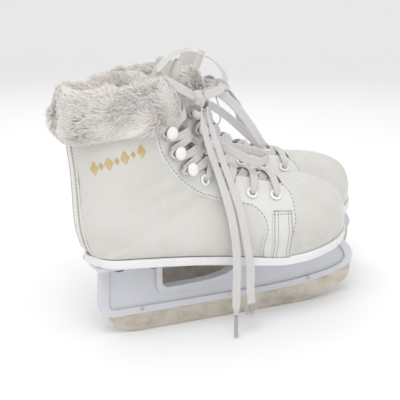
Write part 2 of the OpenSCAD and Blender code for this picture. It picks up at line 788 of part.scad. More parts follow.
module left_quarter_outer() {
  left()
    quarter_outer();
}
module left_quarter_inner() {
  left()
    quarter_inner();
}
module left_backstay() {
  left()
    backstay();
}
module left_eyestay_outer() {
  left()
    eyestay_outer();
}
module left_eyestay_inner() {
  left()
    eyestay_inner();
}
module left_front_panels() {
  left()
    front_panels();
}
module left_side_patches() {
  left()
    side_patches();
}
module left_heel_counter() {
  left()
    heel_counter();
}
module left_toe_puff() {
  left()
    toe_puff();
}
module left_lining() {
  left()
    lining();
}
module left_tongue() {
  left()
    tongue();
}
module left_tongue_flap() {
  left()
    tongue_flap();
}
module left_fur_collar() {
  left()
    fur_collar();
}
module left_eyelets() {
  left()
    eyelets();
}
module left_hooks() {
  left()
    hooks();
}
module left_lace() {
  left()
    lace();
}
module left_knot() {
  left()
    knot();
}
module left_lace_loop_a() {
  left()
    lace_loop_d();
}
module left_lace_loop_b() {
  left()
    lace_loop_e();
}
module left_lace_tail_a() {
  left()
    lace_tail_a();
}

right_blade();
right_blade_pins();
right_holder();
right_holder_screws();
right_outsole();
right_insole_board();
right_footbed();
right_vamp();
right_quarter_outer();
right_quarter_inner();
right_backstay();
right_eyestay_outer();
right_eyestay_inner();
right_front_panels();
right_side_patches();
right_heel_counter();
right_toe_puff();
right_lining();
right_tongue();
right_tongue_flap();
right_fur_collar();
right_eyelets();
right_hooks();
right_lace();
right_knot();
right_lace_loop_a();
right_lace_loop_b();
right_lace_loop_c();
right_lace_tail_a();
right_lace_tail_b();
right_aglet();
left_blade();
left_blade_pins();
left_holder();
left_holder_screws();
left_outsole();
left_insole_board();
left_footbed();
left_vamp();
left_quarter_outer();
left_quarter_inner();
left_backstay();
left_eyestay_outer();
left_eyestay_inner();
left_front_panels();
left_side_patches();
left_heel_counter();
left_toe_puff();
left_lining();
left_tongue();
left_tongue_flap();
left_fur_collar();
left_eyelets();
left_hooks();
left_lace();
left_knot();
left_lace_loop_a();
left_lace_loop_b();
left_lace_tail_a();
left_aglet();
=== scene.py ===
"""Looks for a pair of ice skates with fur cuffs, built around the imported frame.

Shapes are worked out in the right skate's own frame, in millimetres: x from the
heel, outer side at -y, z up from the bottom of the blade. build() places them in
metres, and mirrors them for the left skate.
"""
import math
import bpy
import bmesh
import numpy as np
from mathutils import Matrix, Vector


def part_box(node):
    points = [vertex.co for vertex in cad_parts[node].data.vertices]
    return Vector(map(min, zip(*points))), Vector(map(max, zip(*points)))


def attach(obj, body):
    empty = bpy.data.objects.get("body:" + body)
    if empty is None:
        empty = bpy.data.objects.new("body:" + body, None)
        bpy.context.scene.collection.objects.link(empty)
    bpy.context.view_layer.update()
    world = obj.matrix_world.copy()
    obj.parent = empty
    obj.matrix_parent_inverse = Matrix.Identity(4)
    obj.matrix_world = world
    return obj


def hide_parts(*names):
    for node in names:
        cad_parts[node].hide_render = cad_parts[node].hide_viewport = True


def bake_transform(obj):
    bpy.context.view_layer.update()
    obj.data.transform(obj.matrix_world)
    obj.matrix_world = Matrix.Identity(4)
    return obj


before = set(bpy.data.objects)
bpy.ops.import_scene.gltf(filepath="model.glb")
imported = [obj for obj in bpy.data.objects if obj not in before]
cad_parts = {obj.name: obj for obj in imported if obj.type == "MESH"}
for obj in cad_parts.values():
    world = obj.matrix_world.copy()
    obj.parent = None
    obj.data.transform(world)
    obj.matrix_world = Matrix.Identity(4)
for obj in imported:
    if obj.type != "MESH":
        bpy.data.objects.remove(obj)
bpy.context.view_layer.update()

MM = 0.001
SKATES = ("right", "left")
TURN = {"right": 1, "left": -1}
BLADE_START = 21.5


def skate_origin(skate):
    low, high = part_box(skate + "_blade")
    return np.array([low.x / MM - BLADE_START, (low.y + high.y) / 2 / MM, 0.0])


ORIGIN = {skate: skate_origin(skate) for skate in SKATES}

# ---------------------------------------------------------------- driving sizes
LEATHER, TRIM, GAP, LINING, TONGUE = 1.5, 1.1, 0.35, 1.2, 5.0
RIM_HEIGHT, RIM_LIP = 7.0, 2.6
FUR_DEPTH = 12.0
LACE_WIDE, LACE_THICK = 7.0, 1.1
EYE_R, EYE_BORE, HOOK_R = 4.8, 2.6, 5.2
LIN_OUT = -LEATHER - 1.6
LIN_IN = LIN_OUT - LINING
TRIM_OUT = GAP + TRIM
PATCH_OUT = TRIM_OUT + GAP + TRIM

# Boot sections, top of the shaft to the toe: back or bottom x z, front or top x z,
# half width there, greatest half width, where it lies, roundness, sideways shift.
SECTIONS = np.array([
    [-6, 204, 74, 214, 0, 34, .50, 2.2, 0], [-5, 190, 78, 200, 0, 33, .50, 2.2, 0],
    [-4, 172, 82, 180, 0, 32, .50, 2.2, 0], [-3, 154, 87, 165, 0, 31, .48, 2.2, 0],
    [-1, 136, 93, 153, 0, 31, .46, 2.1, 0], [0, 118, 100, 143, 0, 31.5, .44, 2.0, 0],
    [.5, 102, 107, 137.5, 0, 32.5, .42, 1.9, 0], [2, 88, 114, 134, 0, 33, .40, 1.85, 0],
    [5, 77, 121, 131, 0, 33, .38, 1.8, 0], [9, 70, 127, 129, 3, 33, .36, 1.8, 0],
    [14, 70, 131, 127.8, 17, 33.2, .35, 1.8, 0], [24, 70, 136, 126, 24.5, 33.5, .34, 1.8, 0],
    [40, 69.7, 142, 124.4, 28, 34, .33, 1.8, 0], [60, 68.3, 149, 122.6, 29, 34.5, .32, 1.85, 0],
    [85, 65.8, 157, 121, 29, 35.5, .31, 1.9, 0], [112, 62.8, 166, 119, 31.5, 37.5, .30, 2.0, .5],
    [138, 59.8, 176, 117, 36.5, 40, .30, 2.15, 1], [160, 57.8, 187, 115.6, 40, 42, .30, 2.3, 2],
    [180, 58.2, 199, 114.5, 40.5, 42, .32, 2.4, 3], [197, 60, 209, 112.8, 38.5, 40, .34, 2.4, 4],
    [212, 62.3, 218, 110, 34, 36, .36, 2.3, 4.5], [224, 64.5, 226, 106, 27, 29.5, .38, 2.2, 5],
    [233, 66.3, 233, 98, 18, 21, .40, 2.1, 5], [238.5, 67.5, 238.8, 88, 10, 12, .42, 2.0, 5],
    [241.5, 68.2, 242, 77, 4, 5.5, .45, 2.0, 5]], float)
LAST = len(SECTIONS) - 1
SOLE_START = 9
FLAP_HINGE, FLAP_LEAN = (79, 186.5), 35
FOLD_HALF = 2.0
ORNAMENT_START, ORNAMENT_END = np.array([3.86, .215]), np.array([3.5, .485])
ORNAMENT_COUNT, ORNAMENT_TALL = 7, 5.2

# Outlines as (s, t): s runs down the sections, t round them, 0 at the back or sole
# line and 1 at the front line; the inner side uses -t.
FACING = [[1.7, .735], [3, .757], [4.2, .767], [6, .782], [8, .803], [10, .830], [12, .842],
          [14, .835], [15.6, .815]]
SEAM_LOW = [[1.7, .014], [16.3, .014]]
VAMP_BACK = [[16.36, 0], [16.26, .37], [16.06, .56], [15.91, .705], [15.6, .83], [15.5, 1],
             [15.6, 1.17], [15.91, 1.295], [16.06, 1.44], [16.26, 1.63], [16.36, 2]]
STAY_LOW = [[1.75, .578], [2.7, .578], [3.9, .575], [5, .60], [7.3, .63], [9.6, .635], [11.9, .613],
            [13.1, .6]]
STAY_TOP = [[1.75, .728], [3, .75], [4.2, .76], [5.6, .773], [7, .785], [8.4, .80], [9.6, .815],
            [10.5, .828]]
PANEL_LOW = [[13.25, .605], [13.75, .59], [14.2, .578], [14.8, .53], [15.2, .478], [15.4, .436],
             [15.6, .37], [16.16, .005]]
PANEL_TOP = [[10.7, .828], [12.4, .835], [14.3, .828], [15.45, .812], [16.1, .738], [16.55, .59],
             [16.85, .463], [17.35, .005]]
PATCH_A = [[16.45, .01], [16.18, .26], [15.9, .37], [15.6, .47], [15.36, .56]]
PATCH_B = [[17.27, .01], [17.0, .26], [16.78, .41], [16.52, .5], [16.34, .57]]
HOOKS = [[2.9, .652], [4.12, .662], [5.56, .685]]
EYES = [[7.54, .714], [11.1, .70], [13.62, .681], [15.16, .684]]


# ---------------------------------------------------------------- numbers and curves
def unit(v):
    v = np.asarray(v, float)
    return v / np.maximum(np.linalg.norm(v, axis=-1, keepdims=True), 1e-9)


def smooth_row(table, t):
    """Catmull-Rom lookup in a table of rows, at row numbers t."""
    table = np.asarray(table, float)
    last = len(table) - 1
    t = np.clip(np.asarray(t, float), 0, last)
    i = np.minimum(np.floor(t).astype(int), last - 1)
    f = (t - i)[..., None]
    a, b = table[np.maximum(i - 1, 0)], table[i]
    c, d = table[i + 1], table[np.minimum(i + 2, last)]
    return b + .5 * f * (c - a + f * (2 * a - 5 * b + 4 * c - d + f * (3 * (b - c) + d - a)))


def boot_pt(s, t, d=0.0):
    """Points on the boot, d millimetres outside its surface. t from 1 to 2 or below 0 is inner."""
    s, t, d = np.broadcast_arrays(np.asarray(s, float), np.asarray(t, float), np.asarray(d, float))
    side = np.where((t < 0) | (t > 1), 1.0, -1.0)
    u = np.clip(np.where(t < 0, -t, np.where(t > 1, 2 - t, t)), 0, 1)
    v = (1 - np.cos(np.pi * u)) / 2
    c = smooth_row(SECTIONS, s)
    e = smooth_row(SECTIONS, np.clip(s + .01, 0, LAST)) - smooth_row(SECTIONS, np.clip(s - .01, 0, LAST))
    nb = unit(np.stack([e[..., 1], -e[..., 0]], -1))
    nf = unit(np.stack([-e[..., 3], e[..., 2]], -1))
    kb = np.clip(1 - c[..., 4] / 12, 0, 1)
    back = c[..., 0:2] + nb * (d * kb)[..., None]
    front = c[..., 2:4] + nf * d[..., None]
    wm = c[..., 5] + d
    wb = np.where(c[..., 4] > .01, c[..., 4] + d * np.clip(c[..., 4] / 12, 0, 1), 0)
    vm, power = c[..., 6], c[..., 7]
    q, r = np.clip((v - vm) / (1 - vm), 0, 1), np.clip((vm - v) / vm, 0, 1)
    y = np.where(v > vm, wm * (1 - q ** power) ** (1 / power),
                 wb + (wm - wb) * (1 - r ** 2.2) ** (1 / 2.2))
    p = back + (front - back) * v[..., None]
    toe = d * .8 * np.clip((s - 22) / 2, 0, 1)
    return np.stack([p[..., 0] + toe, c[..., 8] + side * y, p[..., 1]], -1)


def section_centre(s):
    c = smooth_row(SECTIONS, s)
    return np.stack([(c[..., 0] + c[..., 2]) / 2, c[..., 8], (c[..., 1] + c[..., 3]) / 2], -1)


def normal_at(s, t, d=0.0):
    s, t = np.broadcast_arrays(np.asarray(s, float), np.asarray(t, float))
    a = boot_pt(s + .03, t, d) - boot_pt(s - .03, t, d)
    b = boot_pt(s, t + .004, d) - boot_pt(s, t - .004, d)
    n = unit(np.cross(a, b))
    outward = boot_pt(s, t, d) - section_centre(s)
    return np.where(((n * outward).sum(-1) < 0)[..., None], -n, n)


def along(points, n):
    """n rows spread evenly by row number along a list of rows."""
    return smooth_row(points, np.linspace(0, len(points) - 1, n))


def even(points, step):
    """The same line again with points a fixed step apart."""
    points = np.asarray(points, float)
    run = np.concatenate([[0], np.cumsum(np.linalg.norm(np.diff(points, axis=0), axis=1))])
    at = np.linspace(0, run[-1], max(2, int(round(run[-1] / step)) + 1))
    return np.stack([np.interp(at, run, points[:, k]) for k in range(points.shape[1])], 1)


def waves(points, seed, size, count=14):
    """Soft seeded unevenness, about -1 to 1, with features of that size in millimetres."""
    r = np.random.default_rng(seed)
    total = np.zeros(points.shape[:-1])
    for _ in range(count):
        k = unit(r.normal(size=3)) * (2 * np.pi / (size * r.uniform(.7, 1.6)))
        total += np.sin(points @ k + r.uniform(0, 6.28))
    return total / math.sqrt(count / 2) / 1.6


# ---------------------------------------------------------------- meshes
class Shape:
    """Points and faces in local millimetres, with a tone from 0 to 1 and UVs per point."""

    def __init__(self):
        self.points, self.faces, self.tone, self.uv = [], [], [], []
        self.count = 0

    def add(self, points, faces, tone=0.5, uv=None):
        points = np.asarray(points, float).reshape(-1, 3)
        n = len(points)
        self.points.append(points)
        self.faces.append(np.asarray(faces, int) + self.count)
        self.tone.append(np.broadcast_to(np.asarray(tone, float), (n,)))
        self.uv.append(np.zeros((n, 2)) if uv is None else np.asarray(uv, float).reshape(-1, 2))
        self.count += n
        return self

    def grid(self, points, closed_i=False, closed_j=False, tone=0.5, uv=None):
        """Quads over an array of points, ni by nj."""
        ni, nj = points.shape[:2]
        i = np.arange(ni if closed_i else ni - 1)
        j = np.arange(nj if closed_j else nj - 1)
        i, j = np.meshgrid(i, j, indexing="ij")
        i2, j2 = (i + 1) % ni, (j + 1) % nj
        faces = np.stack([i * nj + j, i * nj + j2, i2 * nj + j2, i2 * nj + j], -1).reshape(-1, 4)
        if np.ndim(tone) == 2:
            tone = np.asarray(tone).ravel()
        return self.add(points.reshape(-1, 3), faces, tone, uv)

    def fan(self, ring, middle, tone=0.5, flip=False):
        n = len(ring)
        k = np.arange(n)
        faces = np.stack([k, (k + 1) % n, np.full(n, n), np.full(n, n)], -1)
        if flip:
            faces = faces[:, [1, 0, 2, 3]]
        return self.add(np.vstack([ring, [middle]]), faces, tone)


def make_mesh(name, shape, skate):
    """A Blender object from a shape, in metres in the row frame; the left skate is mirrored."""
    turn = TURN[skate]
    points = np.vstack(shape.points) * [1, turn, 1] + ORIGIN[skate]
    faces = np.vstack([f if f.shape[1] == 4 else np.hstack([f, f[:, -1:]]) for f in shape.faces])
    if turn < 0:
        faces = faces[:, ::-1]
    quads = [tuple(dict.fromkeys(int(v) for v in f)) for f in faces]
    mesh = bpy.data.meshes.new(name)
    mesh.from_pydata([tuple(p) for p in points * MM], [], [q for q in quads if len(q) > 2])
    tone = mesh.attributes.new("tone", "FLOAT", "POINT")
    tone.data.foreach_set("value", np.concatenate(shape.tone).astype(np.float32))
    uv = np.vstack(shape.uv)
    if np.abs(uv).max() > 0:
        layer = mesh.uv_layers.new(name="weave")
        corner = np.zeros(len(mesh.loops), np.int32)
        mesh.loops.foreach_get("vertex_index", corner)
        layer.data.foreach_set("uv", uv[corner].astype(np.float32).ravel())
    mesh.polygons.foreach_set("use_smooth", [True] * len(mesh.polygons))
    obj = bpy.data.objects.new(name, mesh)
    bpy.context.scene.collection.objects.link(obj)
    return obj


def tidy(obj, merge=0.00001):
    """Joins doubled points and turns the faces outwards."""
    bm = bmesh.new()
    bm.from_mesh(obj.data)
    bmesh.ops.remove_doubles(bm, verts=bm.verts, dist=merge)
    bmesh.ops.recalc_face_normals(bm, faces=bm.faces)
    bm.to_mesh(obj.data)
    bm.free()


def build(part, shape, material, skate, body=None, stands_for=(), closed=True):
    """One piece of one skate, riding on its body and standing for its CAD nodes."""
    obj = make_mesh(f"{skate}_{part}_look", shape, skate)
    if closed:
        tidy(obj)
    obj.data.materials.append(material)
    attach(obj, body or skate + "_skate")
    if stands_for:
        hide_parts(*[f"{skate}_{node}" for node in stands_for])
    return obj


def skin(edge_a, edge_b, nu, nv, outside, thick, holes=(), hole_r=3.3, relief=None, edge=0.45, soft=1.6):
    """A closed leather panel between two (s, t) edges, with rounded borders and real holes."""
    a, b = along(edge_a, nu), along(edge_b, nu)
    f = np.linspace(0, 1, nv)[None, :, None]
    st = a[:, None] + (b - a)[:, None] * f
    flat = boot_pt(st[..., 0], st[..., 1], outside)
    border = np.minimum.reduce([
        np.broadcast_to(np.arange(nu)[:, None], (nu, nv)),
        np.broadcast_to(np.arange(nu)[::-1][:, None], (nu, nv)),
        np.broadcast_to(np.arange(nv)[None], (nu, nv)),
        np.broadcast_to(np.arange(nv)[::-1][None], (nu, nv))])
    drop = edge * np.clip(1 - border / soft, 0, 1) ** 2
    lift = -drop + (relief(flat) if relief else 0)
    top = boot_pt(st[..., 0], st[..., 1], outside + lift)
    low = boot_pt(st[..., 0], st[..., 1], outside - thick)
    keep = np.ones((nu - 1, nv - 1), bool)
    middle = (flat[1:, 1:] + flat[:-1, :-1]) / 2
    for hole in holes:
        centre = boot_pt(hole[0], hole[1], outside)
        keep &= np.linalg.norm(middle - centre, axis=-1) > hole_r
    return panel_solid(top, low, keep)


def joined(*parts):
    """One shape from several."""
    shape = Shape()
    for part in parts:
        shape.add(np.vstack(part.points), np.vstack(part.faces))
    return shape


def panel_solid(top, low, keep):
    """Two grids of points joined into one closed sheet, open where keep is false."""
    nu, nv = top.shape[:2]
    n = nu * nv
    index = np.arange(n).reshape(nu, nv)
    a, b, c, d = index[:-1, :-1], index[:-1, 1:], index[1:, 1:], index[1:, :-1]
    upper = np.stack([a, b, c, d], -1)[keep]
    lower = upper[:, ::-1] + n
    edges = np.concatenate([upper[:, [k, (k + 1) % 4]] for k in range(4)])
    key = np.sort(edges, 1)
    code = key[:, 0] * n + key[:, 1]
    _, first, times = np.unique(code, return_index=True, return_counts=True)
    rim = edges[first[times == 1]]
    wall = np.stack([rim[:, 1], rim[:, 0], rim[:, 0] + n, rim[:, 1] + n], -1)
    used, inverse = np.unique(np.concatenate([upper, lower, wall]), return_inverse=True)
    points = np.concatenate([top.reshape(-1, 3), low.reshape(-1, 3)])[used]
    shape = Shape()
    shape.add(points, inverse.reshape(-1, 4))
    return shape


def flip(edge):
    return [[s, -t] for s, t in edge]


def sweep(shape, centres, wide, width, thick, section, tone=0.5, caps=True):
    """A section carried along centres. wide gives each ring's width direction."""
    centres, wide = np.asarray(centres, float), np.asarray(wide, float)
    n, m = len(centres), len(section)
    tangent = unit(np.gradient(centres, axis=0))
    x = unit(wide - tangent * (wide * tangent).sum(-1, keepdims=True))
    y = np.cross(tangent, x)
    width = np.broadcast_to(np.asarray(width, float), (n,))
    thick = np.broadcast_to(np.asarray(thick, float), (n,))
    sec = np.asarray(section, float)
    rings = (centres[:, None] + x[:, None] * (sec[None, :, 0:1] * width[:, None, None] / 2)
             + y[:, None] * (sec[None, :, 1:2] * thick[:, None, None] / 2))
    run = np.concatenate([[0], np.cumsum(np.linalg.norm(np.diff(centres, axis=0), axis=1))])
    uv = np.stack(np.broadcast_arrays(sec[None, :, 0] * .5 + .5, run[:, None] / LACE_WIDE), -1)
    tone = np.broadcast_to(np.asarray(tone, float).reshape(-1, 1), (n, m))
    shape.grid(rings, closed_j=True, tone=tone, uv=uv + 1)
    if caps:
        shape.fan(rings[0], centres[0], tone[0, 0], flip=True)
        shape.fan(rings[-1], centres[-1], tone[-1, 0])
    return shape


def round_section(sides):
    a = np.arange(sides) * 2 * np.pi / sides
    return np.stack([np.cos(a), np.sin(a)], 1)


HALF_LACE = [[-1, 0], [-.97, .5], [-.86, .9], [-.6, 1], [-.3, .96], [-.1, .8], [0, .68], [.1, .8],
             [.3, .96], [.6, 1], [.86, .9], [.97, .5]]
LACE_SECTION = np.array(HALF_LACE + [[-x, -y] for x, y in HALF_LACE])


def lathe(profile, sides=40):
    """Points of a turned shape round +z from (radius, height) pairs, as a grid."""
    profile = np.asarray(profile, float)
    a = np.arange(sides) * 2 * np.pi / sides
    return np.stack([profile[:, None, 0] * np.cos(a), profile[:, None, 0] * np.sin(a),
                     np.broadcast_to(profile[:, None, 1], (len(profile), sides))], -1)


def on_boot(points, s, t, d):
    """Moves points made round +z so that +z is the outward direction at (s, t)."""
    n = normal_at(s, t, d)
    x = unit(np.cross([0, 0, 1.0], n))
    y = np.cross(n, x)
    return boot_pt(s, t, d) + points @ np.stack([x, y, n])


# ---------------------------------------------------------------- materials
def new_material(name):
    mat = bpy.data.materials.new(name)
    mat.use_nodes = True
    tree = mat.node_tree
    shader = next(n for n in tree.nodes if n.type == "BSDF_PRINCIPLED")
    return mat, tree, shader


def node(tree, kind, inputs=None, **settings):
    n = tree.nodes.new("ShaderNode" + kind)
    for key, value in settings.items():
        setattr(n, key, value)
    for key, value in (inputs or {}).items():
        if isinstance(value, bpy.types.NodeSocket):
            tree.links.new(value, n.inputs[key])
        else:
            n.inputs[key].default_value = value
    return n


def place(tree, stretch=(1, 1, 1)):
    """The piece's own coordinates, in millimetres."""
    coords = node(tree, "TexCoord").outputs["Object"]
    return node(tree, "Mapping", {"Vector": coords, "Scale": [k * 1000 for k in stretch]}).outputs[0]


def noise(tree, where, size, detail=3.0, rough=0.5):
    """Noise with features of that size in millimetres, 0 to 1."""
    return node(tree, "TexNoise", {"Vector": where, "Scale": 1 / size, "Detail": detail,
                                   "Roughness": rough}).outputs["Fac"]


def ramp(tree, value, low, high, to_low=0.0, to_high=1.0):
    return node(tree, "MapRange", {"Value": value, "From Min": low, "From Max": high,
                                   "To Min": to_low, "To Max": to_high}).outputs["Result"]


def mix(tree, share, a, b):
    n = node(tree, "Mix", data_type="RGBA")
    for socket, value in ((n.inputs[0], share), (n.inputs[6], a), (n.inputs[7], b)):
        if isinstance(value, bpy.types.NodeSocket):
            tree.links.new(value, socket)
        elif isinstance(value, (tuple, list)):
            socket.default_value = (*value, 1)
        else:
            socket.default_value = value
    return n.outputs[2]


def maths(tree, operation, a, b=0.0):
    n = node(tree, "Math", operation=operation)
    for socket, value in zip(n.inputs, (a, b)):
        if isinstance(value, bpy.types.NodeSocket):
            tree.links.new(value, socket)
        else:
            socket.default_value = value
    return n.outputs[0]


def bump(tree, shader, height, distance, strength=1.0, under=None):
    inputs = {"Height": height, "Distance": distance * MM, "Strength": strength}
    if under is not None:
        inputs["Normal"] = under
    out = node(tree, "Bump", inputs).outputs["Normal"]
    tree.links.new(out, shader.inputs["Normal"])
    return out


def tone_of(tree):
    return node(tree, "Attribute", attribute_name="tone").outputs["Fac"]


def leather(name, base, aged, rough=.34, grain=1.0, coat=.25):
    """Smooth coated leather: fine pores, soft clouding, slight dust low down."""
    mat, tree, shader = new_material(name)
    where = place(tree)
    clouds = noise(tree, where, 38, 3)
    marks = noise(tree, where, 7, 4, .6)
    pores = node(tree, "TexVoronoi", {"Vector": where, "Scale": 1 / 0.75}, feature="F1").outputs["Distance"]
    fine = noise(tree, where, .45, 3, .6)
    colour = mix(tree, ramp(tree, clouds, .35, .72, 0, .75), base, aged)
    worn = tuple(c * .86 for c in aged)
    colour = mix(tree, ramp(tree, marks, .60, .78, 0, .35), colour, worn)
    height_z = node(tree, "SeparateXYZ", {"Vector": where}).outputs["Z"]
    dust = maths(tree, "MULTIPLY", ramp(tree, height_z, 84, 62, 0, .55), ramp(tree, marks, .3, .7))
    colour = mix(tree, dust, colour, tuple(c * .80 for c in aged))
    tree.links.new(colour, shader.inputs["Base Color"])
    tree.links.new(ramp(tree, marks, .3, .75, rough - .06, rough + .14), shader.inputs["Roughness"])
    shader.inputs["Coat Weight"].default_value = coat
    shader.inputs["Coat Roughness"].default_value = .22
    height = maths(tree, "ADD", maths(tree, "MULTIPLY", pores, .6), maths(tree, "MULTIPLY", fine, .6))
    coarse = bump(tree, shader, noise(tree, where, 11, 4, .55), .35, .35)
    bump(tree, shader, height, .05 * grain, .55, coarse)
    return mat


def plastic(name, base, dirty, rough=.36):
    mat, tree, shader = new_material(name)
    where = place(tree)
    clouds = noise(tree, where, 22, 4, .6)
    scratches = noise(tree, place(tree, (.06, 1, 1)), .9, 3, .7)
    specks = noise(tree, where, 1.6, 3, .7)
    colour = mix(tree, ramp(tree, clouds, .42, .75, 0, .6), base, dirty)
    colour = mix(tree, ramp(tree, specks, .68, .78, 0, .5), colour, tuple(c * .72 for c in dirty))
    tree.links.new(colour, shader.inputs["Base Color"])
    tree.links.new(ramp(tree, scratches, .3, .75, rough - .06, rough + .16), shader.inputs["Roughness"])
    bump(tree, shader, maths(tree, "ADD", scratches, noise(tree, where, .5, 2)), .03, .5)
    return mat


def steel(name, base, stain, rough=.32, rust=.5):
    """Ground steel: lines along the blade, cloudy tarnish and small rust spots."""
    mat, tree, shader = new_material(name)
    where = place(tree)
    lines = noise(tree, place(tree, (.02, 1, 1)), .35, 2, .7)
    clouds = noise(tree, place(tree, (.5, 1, 1)), 9, 5, .62)
    spots = noise(tree, where, 3.2, 4, .65)
    tarnish = ramp(tree, clouds, .45, .68)
    colour = mix(tree, tarnish, base, stain)
    colour = mix(tree, ramp(tree, spots, .66, .76, 0, rust), colour, (.30, .17, .08))
    tree.links.new(colour, shader.inputs["Base Color"])
    shader.inputs["Metallic"].default_value = .85
    tree.links.new(ramp(tree, clouds, .4, .7, rough, rough + .25), shader.inputs["Roughness"])
    bump(tree, shader, maths(tree, "ADD", lines, maths(tree, "MULTIPLY", spots, .6)), .04, .6)
    return mat


def cloth(name, base, dark, thread=.5, sheen=.3):
    """Woven or brushed cloth from crossed fine noise."""
    mat, tree, shader = new_material(name)
    where = place(tree)
    fuzz = noise(tree, where, thread, 4, .7)
    clouds = noise(tree, where, 14, 3)
    colour = mix(tree, ramp(tree, fuzz, .3, .7), dark, base)
    colour = mix(tree, ramp(tree, clouds, .5, .75, 0, .5), colour, tuple(c * .9 for c in base))
    tree.links.new(colour, shader.inputs["Base Color"])
    shader.inputs["Roughness"].default_value = .9
    shader.inputs["Sheen Weight"].default_value = sheen
    bump(tree, shader, fuzz, .25, .8)
    return mat


def lace_cloth(name, base, dark):
    """Flat tubular lace: a herringbone of fine yarns laid out on the lace's own UVs."""
    mat, tree, shader = new_material(name)
    uv = node(tree, "UVMap", uv_map="weave").outputs[0]
    parts = node(tree, "SeparateXYZ", {"Vector": uv})
    across, down = parts.outputs["X"], parts.outputs["Y"]
    fold = maths(tree, "PINGPONG", across, .125)
    slant = maths(tree, "ADD", maths(tree, "MULTIPLY", fold, 1.6), down)
    yarn = maths(tree, "SINE", maths(tree, "MULTIPLY", slant, 2 * math.pi * 8))
    rib = maths(tree, "SINE", maths(tree, "MULTIPLY", across, 2 * math.pi * 8))
    where = place(tree)
    fuzz = noise(tree, where, .35, 3, .7)
    grey = noise(tree, where, 16, 3)
    height = maths(tree, "ADD", maths(tree, "MULTIPLY", yarn, .5), maths(tree, "MULTIPLY", rib, .35))
    height = maths(tree, "ADD", height, fuzz)
    colour = mix(tree, ramp(tree, height, -.6, 1.1), dark, base)
    colour = mix(tree, ramp(tree, grey, .5, .75, 0, .45), colour, tuple(c * .86 for c in base))
    tree.links.new(colour, shader.inputs["Base Color"])
    shader.inputs["Roughness"].default_value = .82
    shader.inputs["Sheen Weight"].default_value = .25
    bump(tree, shader, height, .16, .8)
    return mat


def fur_fibre(name, root, tip):
    mat, tree, shader = new_material(name)
    where = place(tree)
    tone = tone_of(tree)
    clouds = noise(tree, where, 16, 3, .6)
    colour = mix(tree, tone, root, tip)
    warm = tuple(c * k for c, k in zip(tip, (.97, .90, .86)))
    colour = mix(tree, ramp(tree, clouds, .38, .68, 0, .55), colour, warm)
    tree.links.new(colour, shader.inputs["Base Color"])
    shader.inputs["Roughness"].default_value = .8
    shader.inputs["Sheen Weight"].default_value = .4
    shader.inputs["Sheen Roughness"].default_value = .4
    bump(tree, shader, noise(tree, place(tree, (1, 1, .2)), .4, 3, .7), .1, .4)
    return mat


def enamel(name, base, chip):
    """Glossy enamel with small worn chips."""
    mat, tree, shader = new_material(name)
    where = place(tree)
    wear = noise(tree, where, 1.5, 4, .7)
    clouds = ramp(tree, noise(tree, where, 4, 2), .4, .8, 0, .6)
    colour = mix(tree, clouds, base, tuple(c * .93 for c in base))
    colour = mix(tree, ramp(tree, wear, .71, .75), colour, chip)
    tree.links.new(colour, shader.inputs["Base Color"])
    tree.links.new(ramp(tree, wear, .3, .8, .12, .34), shader.inputs["Roughness"])
    shader.inputs["Coat Weight"].default_value = .8
    shader.inputs["Coat Roughness"].default_value = .06
    bump(tree, shader, wear, .03, .5)
    return mat


def thread_with_painted_hole_shade(name, light, dark):
    """Sewing thread: twisted, with painted shade where it dives into its needle holes."""
    mat, tree, shader = new_material(name)
    where = place(tree)
    twist = noise(tree, where, .22, 2, .6)
    # painted shade: low tone at the stitch ends mixes towards the dark colour, standing for the shade in the
    # needle holes
    colour = mix(tree, ramp(tree, tone_of(tree), .15, .85), dark, light)
    colour = mix(tree, ramp(tree, twist, .4, .8, 0, .4), colour, dark)
    tree.links.new(colour, shader.inputs["Base Color"])
    shader.inputs["Roughness"].default_value = .7
    bump(tree, shader, twist, .08, .7)
    return mat


def foil(name, base):
    mat, tree, shader = new_material(name)
    where = place(tree)
    wear = noise(tree, where, 1.1, 4, .7)
    colour = mix(tree, ramp(tree, wear, .52, .70, 0, .8), base, (.74, .70, .58))
    tree.links.new(colour, shader.inputs["Base Color"])
    tree.links.new(ramp(tree, wear, .5, .7, .75, .1), shader.inputs["Metallic"])
    shader.inputs["Roughness"].default_value = .38
    bump(tree, shader, wear, .04, .5)
    return mat


M = {
    "leather": leather("white_leather", (.645, .632, .60), (.59, .572, .53)),
    "trim": leather("white_trim_leather", (.71, .705, .68), (.655, .645, .605), .32, .8, .3),
    "tongue": leather("tongue_leather", (.64, .626, .588), (.57, .55, .50), .42, 1.4, .1),
    "raw_edge": cloth("raw_cream_edge", (.66, .60, .47), (.46, .39, .26), .6, .1),
    "lining": cloth("lining_fleece", (.60, .55, .50), (.42, .38, .33), .8, .5),
    "board": cloth("sole_board", (.42, .32, .20), (.28, .2, .12), .9, 0),
    "holder": plastic("holder_plastic", (.63, .64, .68), (.56, .565, .59), .36),
    "sole": plastic("sole_plastic", (.80, .80, .81), (.70, .69, .67), .34),
    "blade": steel("blade_steel", (.62, .58, .51), (.50, .45, .37), .4, .22),
    "pin": steel("pin_steel", (.55, .54, .52), (.36, .32, .27)),
    # painted shade: the screws' near-black base colour stands for the shade in the holder's screw recesses;
    # the rust spots are the screws' own
    "screw": steel("screw_steel", (.16, .15, .15), (.12, .08, .06), .45, .8),
    "fur": fur_fibre("fur_fibre", (.955, .91, .875), (.99, .975, .95)),
    "fur_base": cloth("fur_base", (.92, .88, .85), (.84, .79, .75), .9, .6),
    "eyelet": enamel("eyelet_enamel", (.85, .85, .85), (.45, .42, .38)),
    "hook": enamel("hook_enamel", (.83, .82, .80), (.40, .36, .32)),
    "lace": lace_cloth("lace_weave", (.76, .74, .735), (.57, .553, .548)),
    "aglet": plastic("aglet_sleeve", (.42, .42, .44), (.30, .30, .31), .3),
    # each thread's second colour is painted shade for the stitch ends in their holes, and also darkens the
    # twist
    "thread": thread_with_painted_hole_shade("seam_thread", (.42, .40, .37), (.10, .095, .085)),
    "gold_thread": thread_with_painted_hole_shade("pale_gold_thread", (.62, .55, .36), (.26, .22, .14)),
    "gold": foil("gold_foil", (.62, .44, .12)),
}

